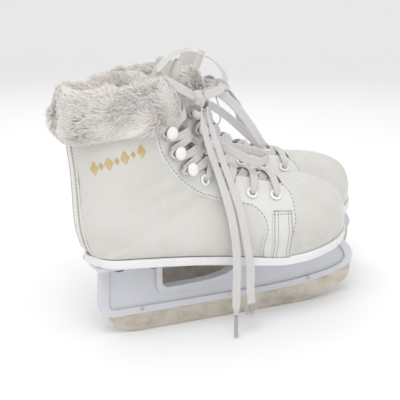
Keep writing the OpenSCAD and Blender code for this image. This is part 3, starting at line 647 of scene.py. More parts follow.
# ---------------------------------------------------------------- camera, floor and light
scene = bpy.context.scene
VIEW_AZIMUTH, VIEW_ELEVATION, VIEW_DISTANCE = -25.0, 14.04, 644.29
AIM = (ORIGIN["right"] + [103, 0, 102.02]) * MM


def place_camera():
    a, e = math.radians(VIEW_AZIMUTH), math.radians(VIEW_ELEVATION)
    back = Vector((math.sin(a) * math.cos(e), -math.cos(a) * math.cos(e), math.sin(e)))
    data = bpy.data.cameras.new("camera")
    data.sensor_width, data.lens = 36, 72
    cam = bpy.data.objects.new("camera", data)
    scene.collection.objects.link(cam)
    cam.location = Vector(AIM) + back * VIEW_DISTANCE * MM
    cam.rotation_euler = (-back).to_track_quat("-Z", "Y").to_euler()
    scene.camera = cam


def add_area(name, location, size, power):
    data = bpy.data.lights.new(name, "AREA")
    data.shape, data.size, data.energy = "DISK", size, power
    lamp = bpy.data.objects.new(name, data)
    scene.collection.objects.link(lamp)
    lamp.location = location
    lamp.rotation_euler = (-Vector(location)).to_track_quat("-Z", "Y").to_euler()


def add_floor():
    """A paper sweep: flat under the skates, curving up far behind them."""
    half, flat, radius, wall = 6.0, 2.2, 1.6, 5.0
    bend = [(flat + radius * math.sin(a), radius * (1 - math.cos(a)))
            for a in np.linspace(0, math.pi / 2, 24)]
    line = [(-half, 0.0)] + bend + [(flat + radius, wall)]
    turn = math.radians(-VIEW_AZIMUTH)
    points = [(x * math.cos(turn) + y * math.sin(turn), -x * math.sin(turn) + y * math.cos(turn), z)
              for y, z in line for x in (-half, half)]
    faces = [(2 * k, 2 * k + 1, 2 * k + 3, 2 * k + 2) for k in range(len(line) - 1)]
    mesh = bpy.data.meshes.new("floor")
    mesh.from_pydata(points, [], faces)
    mesh.polygons.foreach_set("use_smooth", [True] * len(faces))
    floor = bpy.data.objects.new("floor", mesh)
    floor.location.z = -.0004
    scene.collection.objects.link(floor)
    mat, tree, shader = new_material("floor_paper")
    soft = noise(tree, place(tree), 60, 2)
    tree.links.new(mix(tree, soft, (.93, .93, .93), (.955, .955, .955)), shader.inputs["Base Color"])
    shader.inputs["Roughness"].default_value = .9
    mesh.materials.append(mat)


place_camera()
add_floor()
add_area("key", (-.55, -.75, 1.35), 1.0, 8)
add_area("fill", (1.0, -.75, .6), 1.2, 1)
add_area("back", (.3, 1.0, 1.2), 1.2, 3)
world = bpy.data.worlds.new("studio")
scene.world = world
world.use_nodes = True
world.node_tree.nodes["Background"].inputs[0].default_value = (1, 1, 1, 1)
world.node_tree.nodes["Background"].inputs[1].default_value = .84
scene.view_settings.view_transform = "Standard"


# ---------------------------------------------------------------- upper
def dents(points):
    """Slight hollows and folds of worn leather, in millimetres."""
    x, z = points[..., 0], points[..., 2]
    inside = np.clip((z - 64) / 12, 0, 1)
    soft = .55 * waves(points, 3, 55) + .18 * waves(points, 5, 22)
    ankle = np.exp(-((x - 70) / 34) ** 2 - ((z - 118) / 20) ** 2)
    folds = .55 * ankle * np.sin((z - .35 * x) / 2.6 + 1.4 * waves(points, 9, 40))
    instep = np.exp(-((x - 146) / 18) ** 2 - ((z - 84) / 14) ** 2)
    folds += .35 * instep * np.sin((x + .3 * z) / 2.4)
    return (soft + folds) * inside


def inward(edge_from, edge_to, share):
    """An edge moved part of the way towards another one."""
    n = 40
    a, b = along(edge_from, n), along(edge_to, n)
    return a + (b - a) * np.asarray(share)


def stitches(shape, edge, d, pitch=3.5, length=2.0, radius=.34):
    """A row of separate thread stitches lying along an (s, t) line."""
    st = along(edge, 300)
    line = boot_pt(st[:, 0], st[:, 1], d)
    run = np.concatenate([[0], np.cumsum(np.linalg.norm(np.diff(line, axis=0), axis=1))])
    places = np.arange(pitch / 2, run[-1], pitch)
    section = round_section(6)
    for at in places:
        f = np.array([-.5, -.42, -.2, 0, .2, .42, .5]) * length + at
        s = np.interp(f, run, st[:, 0])
        t = np.interp(f, run, st[:, 1])
        rise = np.array([-.5, -.02, .16, .2, .16, -.02, -.5])
        centres = boot_pt(s, t, d + rise)
        side = np.cross(unit(np.gradient(centres, axis=0)), normal_at(s, t, d))
        # tone 0 at both ends gives the thread painted shade where it dives into its holes
        sweep(shape, centres, side, 2 * radius, 1.7 * radius, section,
              tone=np.array([0, .1, .8, 1, .8, .1, 0]))


def quarter(side):
    edges = (SEAM_LOW, FACING) if side > 0 else (flip(SEAM_LOW), flip(FACING))
    return skin(*edges, 190, 90, 0, LEATHER, [[s, side * t] for s, t in EYES], 3.5, dents, .5)


def vamp():
    back = along(VAMP_BACK, 150)
    f = np.linspace(0, 1, 80)[None, :, None]
    tip = np.stack([np.full(150, LAST), np.linspace(0, 2, 150)], 1)
    st = back[:, None] + (tip - back)[:, None] * f
    flat = boot_pt(st[..., 0], st[..., 1], 0)
    crease = np.exp(-((flat[..., 0] - 190) / 9) ** 2) * np.clip((flat[..., 2] - 88) / 20, 0, 1)
    lift = .3 * waves(flat, 12, 45) + .12 * waves(flat, 13, 18)
    lift = (lift + .3 * crease * np.sin(flat[..., 0] / 1.9)) * np.clip((flat[..., 2] - 66) / 10, 0, 1)
    lift[:, 0] -= .5
    outer = boot_pt(st[..., 0], st[..., 1], lift)
    inner = boot_pt(st[..., 0], st[..., 1], -LEATHER)
    shape = panel_solid(outer, inner, np.ones((149, 79), bool))
    for edge_ring, push in ((outer[:, -1], 1.4), (inner[:, -1], 0.0)):
        middle = edge_ring.mean(0) + [push, 0, 0]
        half = (edge_ring + middle) / 2 + [push * .28, 0, 0]
        shape.grid(np.stack([edge_ring, half], 0), closed_j=True)
        shape.fan(half, middle)
    return shape


def panel(side):
    low, top = (PANEL_LOW, PANEL_TOP) if side > 0 else (flip(PANEL_LOW), flip(PANEL_TOP))
    return skin(low, top, 150, 60, TRIM_OUT - .2, TRIM + .1, [[s, side * t] for s, t in EYES[2:]], 3.5, None,
                1.0, 4)


def stay(side):
    low, top = (STAY_LOW, STAY_TOP) if side > 0 else (flip(STAY_LOW), flip(STAY_TOP))
    return skin(low, top, 150, 44, TRIM_OUT - .4, TRIM, [[s, side * t] for s, t in EYES[:2]], 3.5, None,
                .9, 4)


def facing_edge(side):
    """The raw, padded edge that shows where the layers end at the throat."""
    shape = Shape()
    edge = along(FACING, 170) * [1, side]
    centre = boot_pt(edge[:, 0], edge[:, 1], -1.7)
    normal = normal_at(edge[:, 0], edge[:, 1], 0)
    uneven = 1 + .10 * waves(centre, 21, 9)
    section = round_section(12) ** 1
    sweep(shape, centre, normal, 3.9 * uneven, 2.6 * uneven, np.sign(section) * np.abs(section) ** .8)
    return shape


def lining():
    low = [[1.75 + 14 * i / 8, .016] for i in range(9)]
    top = [[min(s + .05, 15.3), t - .012] for s, t in FACING]
    sides = [skin(a, b, 60, 34, LIN_OUT, LINING, edge=.2) for a, b in ((low, top), (flip(low), flip(top)))]
    a = [[16.3, .03], [16.2, .37], [15.95, .56], [15.75, .705], [15.7, 1], [15.75, 1.295],
         [15.95, 1.44], [16.2, 1.63], [16.3, 1.97]]
    b = [[22.6, .03 + 1.94 * i / 8] for i in range(9)]
    return joined(*sides, skin(a, b, 50, 30, LIN_OUT, LINING, edge=.2))


def pad(s0, s1, t_half, rows, cols, low, high, channels=(), bulge=.8):
    """A closed padded shape over the front line, thinner towards its edges, with sewn channels."""
    s = np.linspace(s0, s1, rows)[:, None]
    g = np.linspace(-1, 1, cols)[None]
    corner = np.clip(np.minimum(s - s0, s1 - s) / (.05 * (s1 - s0)), 0, 1) ** .5
    half = np.interp(s[:, 0], *zip(*t_half))[:, None] * (.90 + .10 * corner)
    t = 1 + g * half
    s = np.broadcast_to(s, t.shape)
    rim = np.clip((1 - np.abs(g)) / .16, 0, 1)
    full = np.sqrt(1 - (1 - rim) ** 2) * corner
    middle = (low + high) / 2
    thick = (high - low) / 2
    flat = boot_pt(s, t, high)
    puff = bulge * (.35 + .65 * waves(flat, 31, 30) * .5)
    for where in channels:
        puff = puff - 1.3 * np.exp(-((g - where) / .035) ** 2)
    upper = boot_pt(s, t, middle + (thick + puff * .6) * full)
    lower = boot_pt(s, t, middle - thick * full)
    return panel_solid(upper, lower, np.ones((rows - 1, cols - 1), bool))


def lean_points(points):
    """Points of the flap, leaning forward about its fold line at rest."""
    a = math.radians(FLAP_LEAN)
    x, z = points[..., 0] - FLAP_HINGE[0], points[..., 2] - FLAP_HINGE[1]
    return np.stack([FLAP_HINGE[0] + x * math.cos(a) + z * math.sin(a), points[..., 1],
                     FLAP_HINGE[1] - x * math.sin(a) + z * math.cos(a)], -1)


def flap_fold():
    """The soft fold that joins the tongue's top to the flap."""
    rows_in, columns = 34, 40
    g = np.linspace(-1, 1, columns)
    low = [boot_pt(s, 1 + g * .268, LIN_IN - .4 - TONGUE / 2) for s in (2.3, 2.05, 1.82)]
    high = [lean_points(boot_pt(s, 1 + g * .222, LIN_IN - 1.4 - TONGUE / 2)) for s in (1.36, 1.16, .96)]
    rows = np.array(low + high)
    lam = np.linspace(0, len(rows) - 1, rows_in)
    centre = smooth_row(rows.reshape(len(rows), -1), lam).reshape(rows_in, columns, 3)
    along_fold, across = np.gradient(centre, axis=0), np.gradient(centre, axis=1)
    normal = unit(np.cross(along_fold, across))
    rim = np.clip((1 - np.abs(g)) / .14, 0, 1)
    half = FOLD_HALF * np.sqrt(1 - (1 - rim) ** 2)[None, :, None] * np.ones((rows_in, 1, 1))
    half[[0, -1]] *= .4
    keep = np.ones((rows_in - 1, columns - 1), bool)
    return panel_solid(centre + normal * half, centre - normal * half, keep)


def backstay():
    a = [[2.1 + 6.4 * i / 6, -.068] for i in range(7)]
    b = [[2.1 + 6.4 * i / 6, .068] for i in range(7)]
    return skin(a, b, 90, 22, TRIM_OUT - .4, TRIM, edge=.8, soft=3)


def patch(side):
    a, b = (PATCH_A, PATCH_B) if side > 0 else (flip(PATCH_A), flip(PATCH_B))
    return skin(a, b, 70, 24, PATCH_OUT - .5, TRIM, edge=.7, soft=3)


def seam_rows():
    """Grey-white stitch rows of the facing, front panels and vamp."""
    shape = Shape()
    for side in (1, -1):
        for row, d in ((inward(STAY_LOW, STAY_TOP, .08), TRIM_OUT - .4),
                       (inward(PANEL_LOW, PANEL_TOP, .05), TRIM_OUT - .2),
                       (inward(PANEL_TOP, PANEL_LOW, .07)[6:], TRIM_OUT - .2)):
            stitches(shape, row * [1, side], d)
    return shape


def patch_rows():
    shape = Shape()
    for side in (1, -1):
        a, b = np.asarray(PATCH_A) * [1, side], np.asarray(PATCH_B) * [1, side]
        for share in (.08, .24, .76, .92):
            stitches(shape, inward(a, b, share), PATCH_OUT - .5, 2.7, 1.8, .28)
        for place_in in (-2, -5):
            stitches(shape, [along(a, 40)[place_in], along(b, 40)[place_in]], PATCH_OUT - .5, 2.7, 1.8, .28)
    return shape


def backstay_rows():
    shape = Shape()
    for t in (-.055, -.043, .043, .055):
        stitches(shape, [[2.2 + 6.2 * i / 6, t] for i in range(7)], TRIM_OUT - .3, 2.6, 1.9, .26)
    return shape


def gold_ornament():
    """A row of plain foil diamonds, large and small in turn, rising to the front."""
    shape = Shape()
    for k in range(ORNAMENT_COUNT):
        f = k / (ORNAMENT_COUNT - 1)
        s, t = ORNAMENT_START + (ORNAMENT_END - ORNAMENT_START) * f
        tall = ORNAMENT_TALL if k % 2 == 0 else ORNAMENT_TALL * .55
        n = normal_at(s, t, 0)
        around = boot_pt(s + np.array([-.12, 0, .12])[:, None], t + np.array([-.02, 0, .02]))
        centre = boot_pt(s, t, dents(around).max() + .12)
        x = unit(boot_pt(s, t + .01) - boot_pt(s, t - .01))
        y = np.cross(n, x)
        corners = np.array([[0, 1], [.62, 0], [0, -1], [-.62, 0]]) * tall

        def ring(scale, lift):
            flat = corners * scale
            return centre + flat[:, :1] * x + flat[:, 1:] * y + n * lift

        shape.grid(np.stack([ring(1, -.3), ring(1, .06), ring(.94, .1), ring(.66, .1), ring(.62, .06),
                             ring(.62, -.3)]), closed_i=True, closed_j=True)
        shape.grid(np.stack([ring(.36, -.3), ring(.36, .06), ring(.3, .1)]), closed_j=True)
        shape.fan(ring(.3, .1), centre + n * .1)
        shape.fan(ring(.36, -.3), centre - n * .3, flip=True)
    return shape


# ---------------------------------------------------------------- hardware
def eyelets():
    shape = Shape()
    profile = [[EYE_BORE, -3.5], [EYE_BORE, .7], [EYE_BORE + .12, 1.05], [EYE_BORE + .4, 1.28],
               [EYE_BORE + .9, 1.34], [EYE_R - .9, 1.2], [EYE_R - .35, .95], [EYE_R - .06, .55],
               [EYE_R, .15], [EYE_R - .1, -.05], [EYE_BORE + .4, -.05], [EYE_BORE + .4, -3.5]]
    for side in (1, -1):
        for s, t in EYES:
            base = TRIM_OUT + (.35 if s > 12 else 0)
            shape.grid(on_boot(lathe(profile), s, side * t, base), closed_i=True, closed_j=True)
    return shape


def hooks():
    shape = Shape()
    profile = [[0, 0], [3.4, 0], [3.6, .2], [3.55, .8], [2.2, 1.05], [1.8, 1.5], [1.7, 2.6],
               [1.8, 4.2], [2.6, 4.75], [HOOK_R - .5, 4.95], [HOOK_R - .1, 5.3], [HOOK_R, 5.8],
               [HOOK_R - .15, 6.35], [HOOK_R - .7, 6.95], [HOOK_R - 1.7, 7.45], [2, 7.8], [1, 7.93],
               [0, 7.96]]
    for side in (1, -1):
        for s, t in HOOKS:
            shape.grid(on_boot(lathe(profile), s, side * t, TRIM_OUT), closed_j=True)
    return shape


# ---------------------------------------------------------------- sole, holder and blade
def foot_edge(s, side, m):
    c = smooth_row(SECTIONS, s)
    a, b = (smooth_row(SECTIONS, np.clip(s + k, SOLE_START, LAST)) for k in (-.05, .05))
    step = unit(np.stack([b[:, 0] - a[:, 0], (b[:, 8] + side * b[:, 4]) - (a[:, 8] + side * a[:, 4])], -1))
    out = np.stack([-step[:, 1], step[:, 0]], -1) * side * m
    return np.stack([c[:, 0] + out[:, 0], c[:, 8] + side * c[:, 4] + out[:, 1]], -1)


def sole_z(x):
    return np.interp(x, SECTIONS[SOLE_START:, 0], SECTIONS[SOLE_START:, 1]) - GAP


def sole_loop(m, count=150):
    """Sole outline in plan, m millimetres outside the upper's foot line, heel round and toe round."""
    f = np.linspace(0, 1, count)
    s = SOLE_START + (LAST - SOLE_START) * f
    outer, inner = foot_edge(s, -1, m), foot_edge(s, 1, m)
    return np.vstack([outer, inner[::-1]])


def outsole():
    """The moulded sole with its standing rim, as one closed slab with rounded borders."""
    profile = [(-9, 0), (RIM_LIP - 1.4, 0), (RIM_LIP - .5, -.15), (RIM_LIP - .1, -.6), (RIM_LIP, -1.4),
               (RIM_LIP - .15, -2.1), (RIM_LIP - .15, -RIM_HEIGHT + 1.4), (RIM_LIP - .35, -RIM_HEIGHT + .5),
               (RIM_LIP - 1.1, -RIM_HEIGHT), (-9, -RIM_HEIGHT)]
    rings = []
    for m, drop in profile:
        loop = sole_loop(m)
        z = sole_z(np.clip(loop[:, 0], 9, 241)) + drop
        rings.append(np.column_stack([loop, z]))
    rings = np.array(rings)
    shape = Shape()
    shape.grid(rings, closed_j=True)
    half = rings.shape[1] // 2
    for ring in (rings[0], rings[-1]):
        shape.grid(np.stack([ring[:half], ring[half:][::-1]], 0))
    return shape


# ---------------------------------------------------------------- fur
COLLAR = [[2.5, .6], [2.72, 3.5], [2.7, .62], [2.4, .88], [1.9, 1.0], [1.42, .83], [1.05, .55], [.85, 3],
          [.92, -1.5], [1.15, -4.6], [1.5, -4.2], [1.55, .6], [2, .6]]
COLLAR_END = .76


def collar_loop(fill):
    """The cuff's section as (s, d) rows; fill is how much of the fur's depth its body takes."""
    rows = []
    for k, (s, d) in enumerate(COLLAR):
        rows.append([s, d * FUR_DEPTH * fill if 2 <= k <= 6 else d])
    return np.array(rows)


def collar_points(fill, n_loop, n_round, seed):
    rows = collar_loop(fill)
    closed = np.vstack([rows[-2:], rows, rows[:3]])
    lam = np.linspace(2, len(rows) + 2, n_loop, endpoint=False)
    loop = smooth_row(closed, lam)
    t = np.linspace(-COLLAR_END, COLLAR_END, n_round)
    close = np.clip((COLLAR_END - np.abs(t)) / .035, 0, 1)
    squeeze = np.sqrt(1 - (1 - close) ** 2) * .97 + .03
    middle = np.array([1.75, FUR_DEPTH * fill * .45])
    s = middle[0] + (loop[None, :, 0] - middle[0]) * squeeze[:, None]
    d = middle[1] + (loop[None, :, 1] - middle[1]) * squeeze[:, None]
    t = np.broadcast_to(t[:, None], s.shape)
    flat = boot_pt(s, t, d)
    outside = np.clip((d - 2) / 4, 0, 1)
    lumps = .8 * waves(flat, seed, 30) + .35 * waves(flat, seed + 1, 12)
    return boot_pt(s, t, d + lumps * outside), s, t, d


def fur_base():
    points, _, _, _ = collar_points(.66, 44, 150, 40)
    shape = Shape()
    shape.grid(points, closed_j=True)
    shape.fan(points[0], points[0].mean(0), flip=True)
    shape.fan(points[-1], points[-1].mean(0))
    return shape


def strand_roots(count, seed):
    """Random roots on the cuff's fur side, with normal and place on the loop."""
    points, s, t, d = collar_points(.66, 88, 300, 40)
    a = points[:-1, :-1]
    du, dv = points[1:, :-1] - a, points[:-1, 1:] - a
    normal = np.cross(du, dv)
    area = np.linalg.norm(normal, axis=-1)
    normal = normal / np.maximum(area, 1e-9)[..., None]
    core = boot_pt(1.75, t[:-1, :-1], FUR_DEPTH * .3)
    normal = np.where(((normal * (a - core)).sum(-1) < 0)[..., None], -normal, normal)
    furry = (d[:-1, :-1] > 1.5) | (s[:-1, :-1] < 1.2)
    r = np.random.default_rng(seed)
    weight = (area * furry).ravel()
    pick = r.choice(weight.size, count, p=weight / weight.sum())
    f, g = r.random((2, count, 1))
    root = a.reshape(-1, 3)[pick] + du.reshape(-1, 3)[pick] * f + dv.reshape(-1, 3)[pick] * g
    return root, normal.reshape(-1, 3)[pick], *(v[:-1, :-1].ravel()[pick] for v in (s, t, d))


def strand_faces(count):
    """Sides and ends of strands of five three-point rings each."""
    i, j = np.meshgrid(np.arange(4), np.arange(3), indexing="ij")
    turn = (j + 1) % 3
    sides = np.stack([i * 3 + j, i * 3 + turn, i * 3 + 3 + turn, i * 3 + 3 + j], -1).reshape(-1, 4)
    ends = np.array([[2, 1, 0, 0], [12, 13, 14, 14]])
    return (np.arange(count)[:, None, None] * 15 + np.vstack([sides, ends])[None]).reshape(-1, 4)


def fur_strands(count, seed):
    """Tapered three-sided strands in clumps, combed back and away from the cuff's middle."""
    root, normal, s, t, d = strand_roots(count, seed)
    r = np.random.default_rng(seed + 50)
    back = boot_pt(s, t - .02 * np.sign(t + 1e-6), d) - boot_pt(s, t, d)
    down = boot_pt(s + .05, t, d) - boot_pt(s - .05, t, d)
    away = unit(down) * np.clip((s - 1.9) / 1.1, -.8, .25)[:, None]
    swirl = np.stack([waves(root, 61, 24), waves(root, 62, 24), waves(root, 63, 24)], -1)
    comb = unit(unit(back) * .9 + away * 1.0 + swirl * .5 + r.normal(size=root.shape) * .14)
    length = r.uniform(4.8, 7.6, count) * np.where(d < 1.5, .75, 1) * (1 + .22 * waves(root, 64, 14))
    length = length * np.clip(1 - (s - 2.25) * .7, .62, 1)
    lean = .50 + .22 * waves(root, 65, 18)
    first = normal * .62 + comb * .60
    last = normal * np.clip(.07 + .25 * (lean - .5), -.05, .5)[:, None] + comb * 1.05
    clumps = 520
    centre = r.choice(count, clumps, replace=False)
    nearest = np.empty(count, int)
    for k in range(0, count, 2000):
        gap = ((root[k:k + 2000, None] - root[centre][None]) ** 2).sum(-1)
        nearest[k:k + 2000] = centre[gap.argmin(1)]
    u = np.array([0, .28, .55, .8, 1.0])
    curl = r.normal(size=(count, 3)) * .7

    def tip_line(index):
        bend = (u ** 2 / 2)[None, :, None]
        grow = first[index][:, None] * (u[None, :, None] - bend) + last[index][:, None] * bend
        return root[index][:, None] + grow * length[index][:, None, None]

    own, lead = tip_line(np.arange(count)), tip_line(nearest)
    pull = (u ** 1.6 * .52)[None, :, None]
    line = own * (1 - pull) + (lead + (root - root[nearest])[:, None] * .25) * pull
    line = line + curl[:, None] * (u ** 2)[None, :, None]
    radius = np.array([.24, .23, .19, .12, .03])[None] * r.uniform(.8, 1.25, count)[:, None]
    tangent = unit(line[:, -1] - line[:, 0])
    x = unit(np.cross(tangent, r.normal(size=(count, 3))))
    y = np.cross(tangent, x)
    angle = np.array([0, 2.094, 4.189])
    across = x[:, None, None] * (np.cos(angle)[None, None, :, None] * radius[:, :, None, None])
    up = y[:, None, None] * (np.sin(angle)[None, None, :, None] * radius[:, :, None, None])
    ring = line[:, :, None] + across + up
    points = ring.reshape(-1, 3)
    clump_tone = np.random.default_rng(9).uniform(-.12, .16, count)[nearest]
    strand = .80 + clump_tone + r.uniform(-.16, .16, count)
    tone = np.clip(strand[:, None] * np.array([.45, .75, .95, 1.08, 1.15])[None], 0, 1)
    shape = Shape()
    shape.add(points, strand_faces(count), np.repeat(tone, 3, axis=1).ravel())
    return shape


# ---------------------------------------------------------------- laces
# Free runs repeat the frame's routes: x y z and the width direction.
LOOP_A = [[95, -9, 186, 0, 0, 1], [84, -20.5, 191, 0, .1, 1], [70, -26, 198, .2, .2, 1],
          [57, -25.5, 206, .5, .5, .6], [61, -24.5, 213, -.2, 1, .3], [72, -19, 219.5, 0, 1, .1],
          [87, -10.5, 221.5, 0, 1, .1], [102, -6, 218, .1, 1, .1], [114, -5, 211.5, .3, 1, .1],
          [121.5, -6, 201, .8, .6, .1], [115, -11, 191.5, .1, .3, 1], [101, -12, 187.5, 0, .1, 1]]
LOOP_B = [[102, -7, 188, .5, 0, .8], [111, -9, 190, .6, -.1, .8], [125.5, -7, 181.5, .7, -.1, .7],
          [139, -7, 167.5, .7, -.1, .7], [149, -7.5, 153.5, .75, -.1, .65],
          [156.5, -5.5, 144, .8, 0, .6], [161.5, -.5, 141.5, .8, .1, .6], [157.5, 4, 144, .8, .1, .6],
          [148.5, 4.5, 151, .75, .2, .6], [138, 4.5, 160.5, .7, .2, .65], [125, 4, 170.5, .6, .3, .7],
          [112, 0, 178, .3, .4, .8], [102, -4, 181, .2, .5, .8]]
LOOP_C = [[112, -9, 149, 0, .1, 1], [121, -7, 146.5, 0, .1, 1], [132, -6.5, 143.5, 0, .1, 1],
          [146, -7.5, 140.5, 0, .1, 1], [154.5, -10.5, 137, .1, .1, 1], [155, -15, 134, .1, -.1, 1],
          [146, -18.5, 133, 0, -.1, 1], [135, -18, 136.5, 0, -.1, 1], [123.5, -16, 143, 0, -.1, 1],
          [113, -12, 149, 0, -.1, 1]]
LOOP_D = [[96, -10, 184, 0, 0, 1], [100, -20, 185, .2, .3, 1], [104, -29, 179, -.1, .7, .6],
          [108, -34, 168, -.4, .85, .2], [111, -36, 155, -.5, .85, 0], [114, -36, 145, -.5, .85, 0],
          [118, -33.5, 141, -.5, .85, 0], [120, -31, 147, -.5, .85, 0], [117, -29, 160, -.5, .85, 0],
          [112, -26, 171, -.3, .8, .3], [107, -19, 179, 0, .6, .7], [102, -12, 183, 0, .3, 1]]
LOOP_E = [[100, -4, 184, 0, 0, 1], [102, 4, 186, .2, -.3, 1], [106, 13, 180, -.1, -.7, .6],
          [110, 19, 169, -.4, -.85, .2], [113, 22, 156, -.5, -.85, 0], [116, 22, 147, -.5, -.85, 0],
          [120.5, 19.5, 144, -.5, -.85, 0], [122, 16, 150, -.5, -.85, 0], [119, 12, 161, -.5, -.85, 0],
          [114, 8, 172, -.3, -.8, .3], [108, 2, 180, 0, -.6, .7], [103, -5, 183, 0, -.3, 1]]
TAIL_A = [[98, -13, 180, .2, 1, .2], [97, -20, 164, .8, .5, .1], [101, -23, 146, .8, .4, .3],
          [107, -27, 126, .9, .4, .3], [110, -38, 104, .9, .1, .3], [112, -45, 80, .9, 0, .1],
          [113, -46.5, 60, 1, 0, 0], [112.5, -47, 40, 1, 0, 0], [112, -48, 19, 1, 0, 0]]
TAIL_B = [[103, -11, 178, .2, 1, .2], [106, -17, 160, .8, .5, .1], [111, -21, 142, .8, .4, .3],
          [116, -28, 122, .9, .4, .3], [119, -40, 100, .9, .1, .3], [122, -45, 76, .9, 0, .1],
          [125, -46, 56, 1, 0, 0], [125, -46.5, 40, 1, 0, 0], [126, -47, 26, 1, 0, 0]]
FREE_RUNS = {
    "right": {"lace_loop_a": (LOOP_A, "object"), "lace_loop_b": (LOOP_B, "object"),
              "lace_loop_c": (LOOP_C, "object"), "lace_tail_a": (TAIL_A, "fitting"),
              "lace_tail_b": (TAIL_B, "bare")},
    "left": {"lace_loop_a": (LOOP_D, "object"), "lace_loop_b": (LOOP_E, "object"),
             "lace_tail_a": (TAIL_A, "fitting")},
}


def free_run(rows, ends=(1.0, 1.0)):
    """A free lace and its centreline."""
    fine = smooth_row(rows, np.linspace(0, len(rows) - 1, 40 * (len(rows) - 1)))
    fine = even(fine, 1.0)
    n = len(fine)
    shape = Shape()
    width = LACE_WIDE * (1 + .03 * waves(fine[:, :3], 71, 12))
    reach = np.linspace(0, 1, n) * (n - 1)
    start = np.clip(reach / 5, 0, 1)
    stop = np.clip(reach[::-1] / 9, 0, 1)
    width = width * (ends[0] + (1 - ends[0]) * start) * (ends[1] + (1 - ends[1]) * stop)
    thick = LACE_THICK * (1 + (1 - ends[1]) * 1.2 * (1 - stop))
    sweep(shape, fine[:, :3], unit(fine[:, 3:]), width, thick, LACE_SECTION)
    return shape, fine[:, :3]


def band_points(rows):
    """Points and width directions of a lace held on the boot, from (s, t, d, width) rows."""
    fine = smooth_row(rows, np.linspace(0, len(rows) - 1, 24 * (len(rows) - 1)))
    points = boot_pt(fine[:, 0], fine[:, 1], fine[:, 2])
    tangent = unit(np.gradient(points, axis=0))
    t = np.where(np.abs(fine[:, 1] - 1) < .02, 1 - .02, fine[:, 1])
    wide = np.cross(tangent, normal_at(fine[:, 0], np.clip(t, .02, 1.98), fine[:, 2]))
    side = np.sign((wide[1:] * wide[:-1]).sum(-1))
    sign = np.concatenate([[1], np.cumprod(np.where(side == 0, 1, side))])
    return points, unit(wide * sign[:, None]), fine[:, 3]


def on_side(rows, side):
    """Rows made for the outer side, or the same rows mirrored to the inner side."""
    return [[s, t if side > 0 else 2 - t, d, w] for s, t, d, w in rows]


def band(shape, rows):
    points, wide, width = band_points(rows)
    run = even(np.column_stack([points, wide, width]), 1.0)
    w = run[:, 6]
    thick = LACE_THICK * np.clip(LACE_WIDE / w, 1, 2.0)
    sweep(shape, run[:, :3], unit(run[:, 3:6]), w, thick, LACE_SECTION)


def threaded_lace():
    """The lace from the front eyelets up to the hooks: one bar and crossed bands above it."""
    shape = Shape()
    over = TRIM_OUT + 1.7
    front = EYES[3]
    band(shape, [[front[0], front[1], -3, 4.4], [front[0] - .02, front[1] + .01, over + .6, 4.8],
                 [front[0] - .3, .80, over + .3, 6.6], [front[0] - .55, 1, 1.8, 7],
                 [front[0] - .3, 1.20, over + .3, 6.6], [front[0] - .02, 2 - front[1] - .01, over + .6, 4.8],
                 [front[0], 2 - front[1], -3, 4.4]])
    eyes = EYES[::-1]
    for k in range(3):
        (s0, t0), (s1, t1) = eyes[k], eyes[k + 1]
        for side, level in ((1, 1.5), (-1, .1)):
            rows = [[s0, t0, -3, 4.4], [s0 - .05, t0 + .015, over + .7, 4.9],
                    [s0 + (s1 - s0) * .2, .81, over + .1, 6.8], [(s0 + s1) / 2, 1, level, 7],
                    [s0 + (s1 - s0) * .85, 1.2, -1.5, 6.6],
                    [s1 - .1, 2 - t1 - .06, -3.0, 5.5]]
            if k == 2:
                rows[-1][2] = -2.6
            band(shape, on_side(rows, side))
    climb = [EYES[0]] + HOOKS[::-1]
    for k in range(3):
        (s0, t0), (s1, t1) = climb[k], climb[k + 1]
        for side, level in ((1, 2.2), (-1, .5)):
            start = [[s0, t0, -3, 4.4], [s0 - .05, t0 + .02, over + .6, 5]] if k == 0 else \
                [[s0 - .25, t0 - .03, over + 1.2, 4.6], [s0 - .36, t0 + .02, over + 1.3, 5.4]]
            rows = start + [[s0 + (s1 - s0) * .25 - .2, .82, over, 6.8], [(s0 + s1) / 2, 1, level, 7],
                            [s0 + (s1 - s0) * .8 + .15, 1.18, over, 6.8],
                            [s1 + .36, 2 - t1 - .02, over + 1.3, 5.4],
                            [s1 + .25, 2 - t1 + .03, over + 1.2, 4.6]]
            band(shape, on_side(rows, side))
    for s, t in HOOKS:
        for side in (1, -1):
            rows = [[s + .34, t + .02, over + 1.3, 5.0], [s + .22, t - .03, over + 1.3, 4.2],
                    [s, t - .048, over + 1.3, 3.6],
                    [s - .22, t - .03, over + 1.3, 4.2], [s - .34, t + .02, over + 1.3, 5.0]]
            hook_wrap(shape, on_side(rows, side))
    top = HOOKS[0]
    for side in (1, -1):
        rows = [[top[0] - .25, top[1] - .03, over + 1.2, 4.6], [top[0] - .38, top[1] + .03, over + 1.4, 5.6],
                [top[0] - .55, .80, over + 1.6, 6.8], [top[0] - .9, .93, 3.2, 7]]
        band(shape, on_side(rows, side))
    return shape


def hook_wrap(shape, rows):
    """The bunched lace standing round a hook's neck."""
    fine = smooth_row(rows, np.linspace(0, len(rows) - 1, 60))
    points = boot_pt(fine[:, 0], fine[:, 1], fine[:, 2])
    normal = normal_at(fine[:, 0], fine[:, 1], fine[:, 2])
    run = even(np.column_stack([points, normal]), .8)
    sweep(shape, run[:, :3], run[:, 3:6], 3.0, 2.0, LACE_SECTION)


KNOT = np.array([98, -7, 183.0])


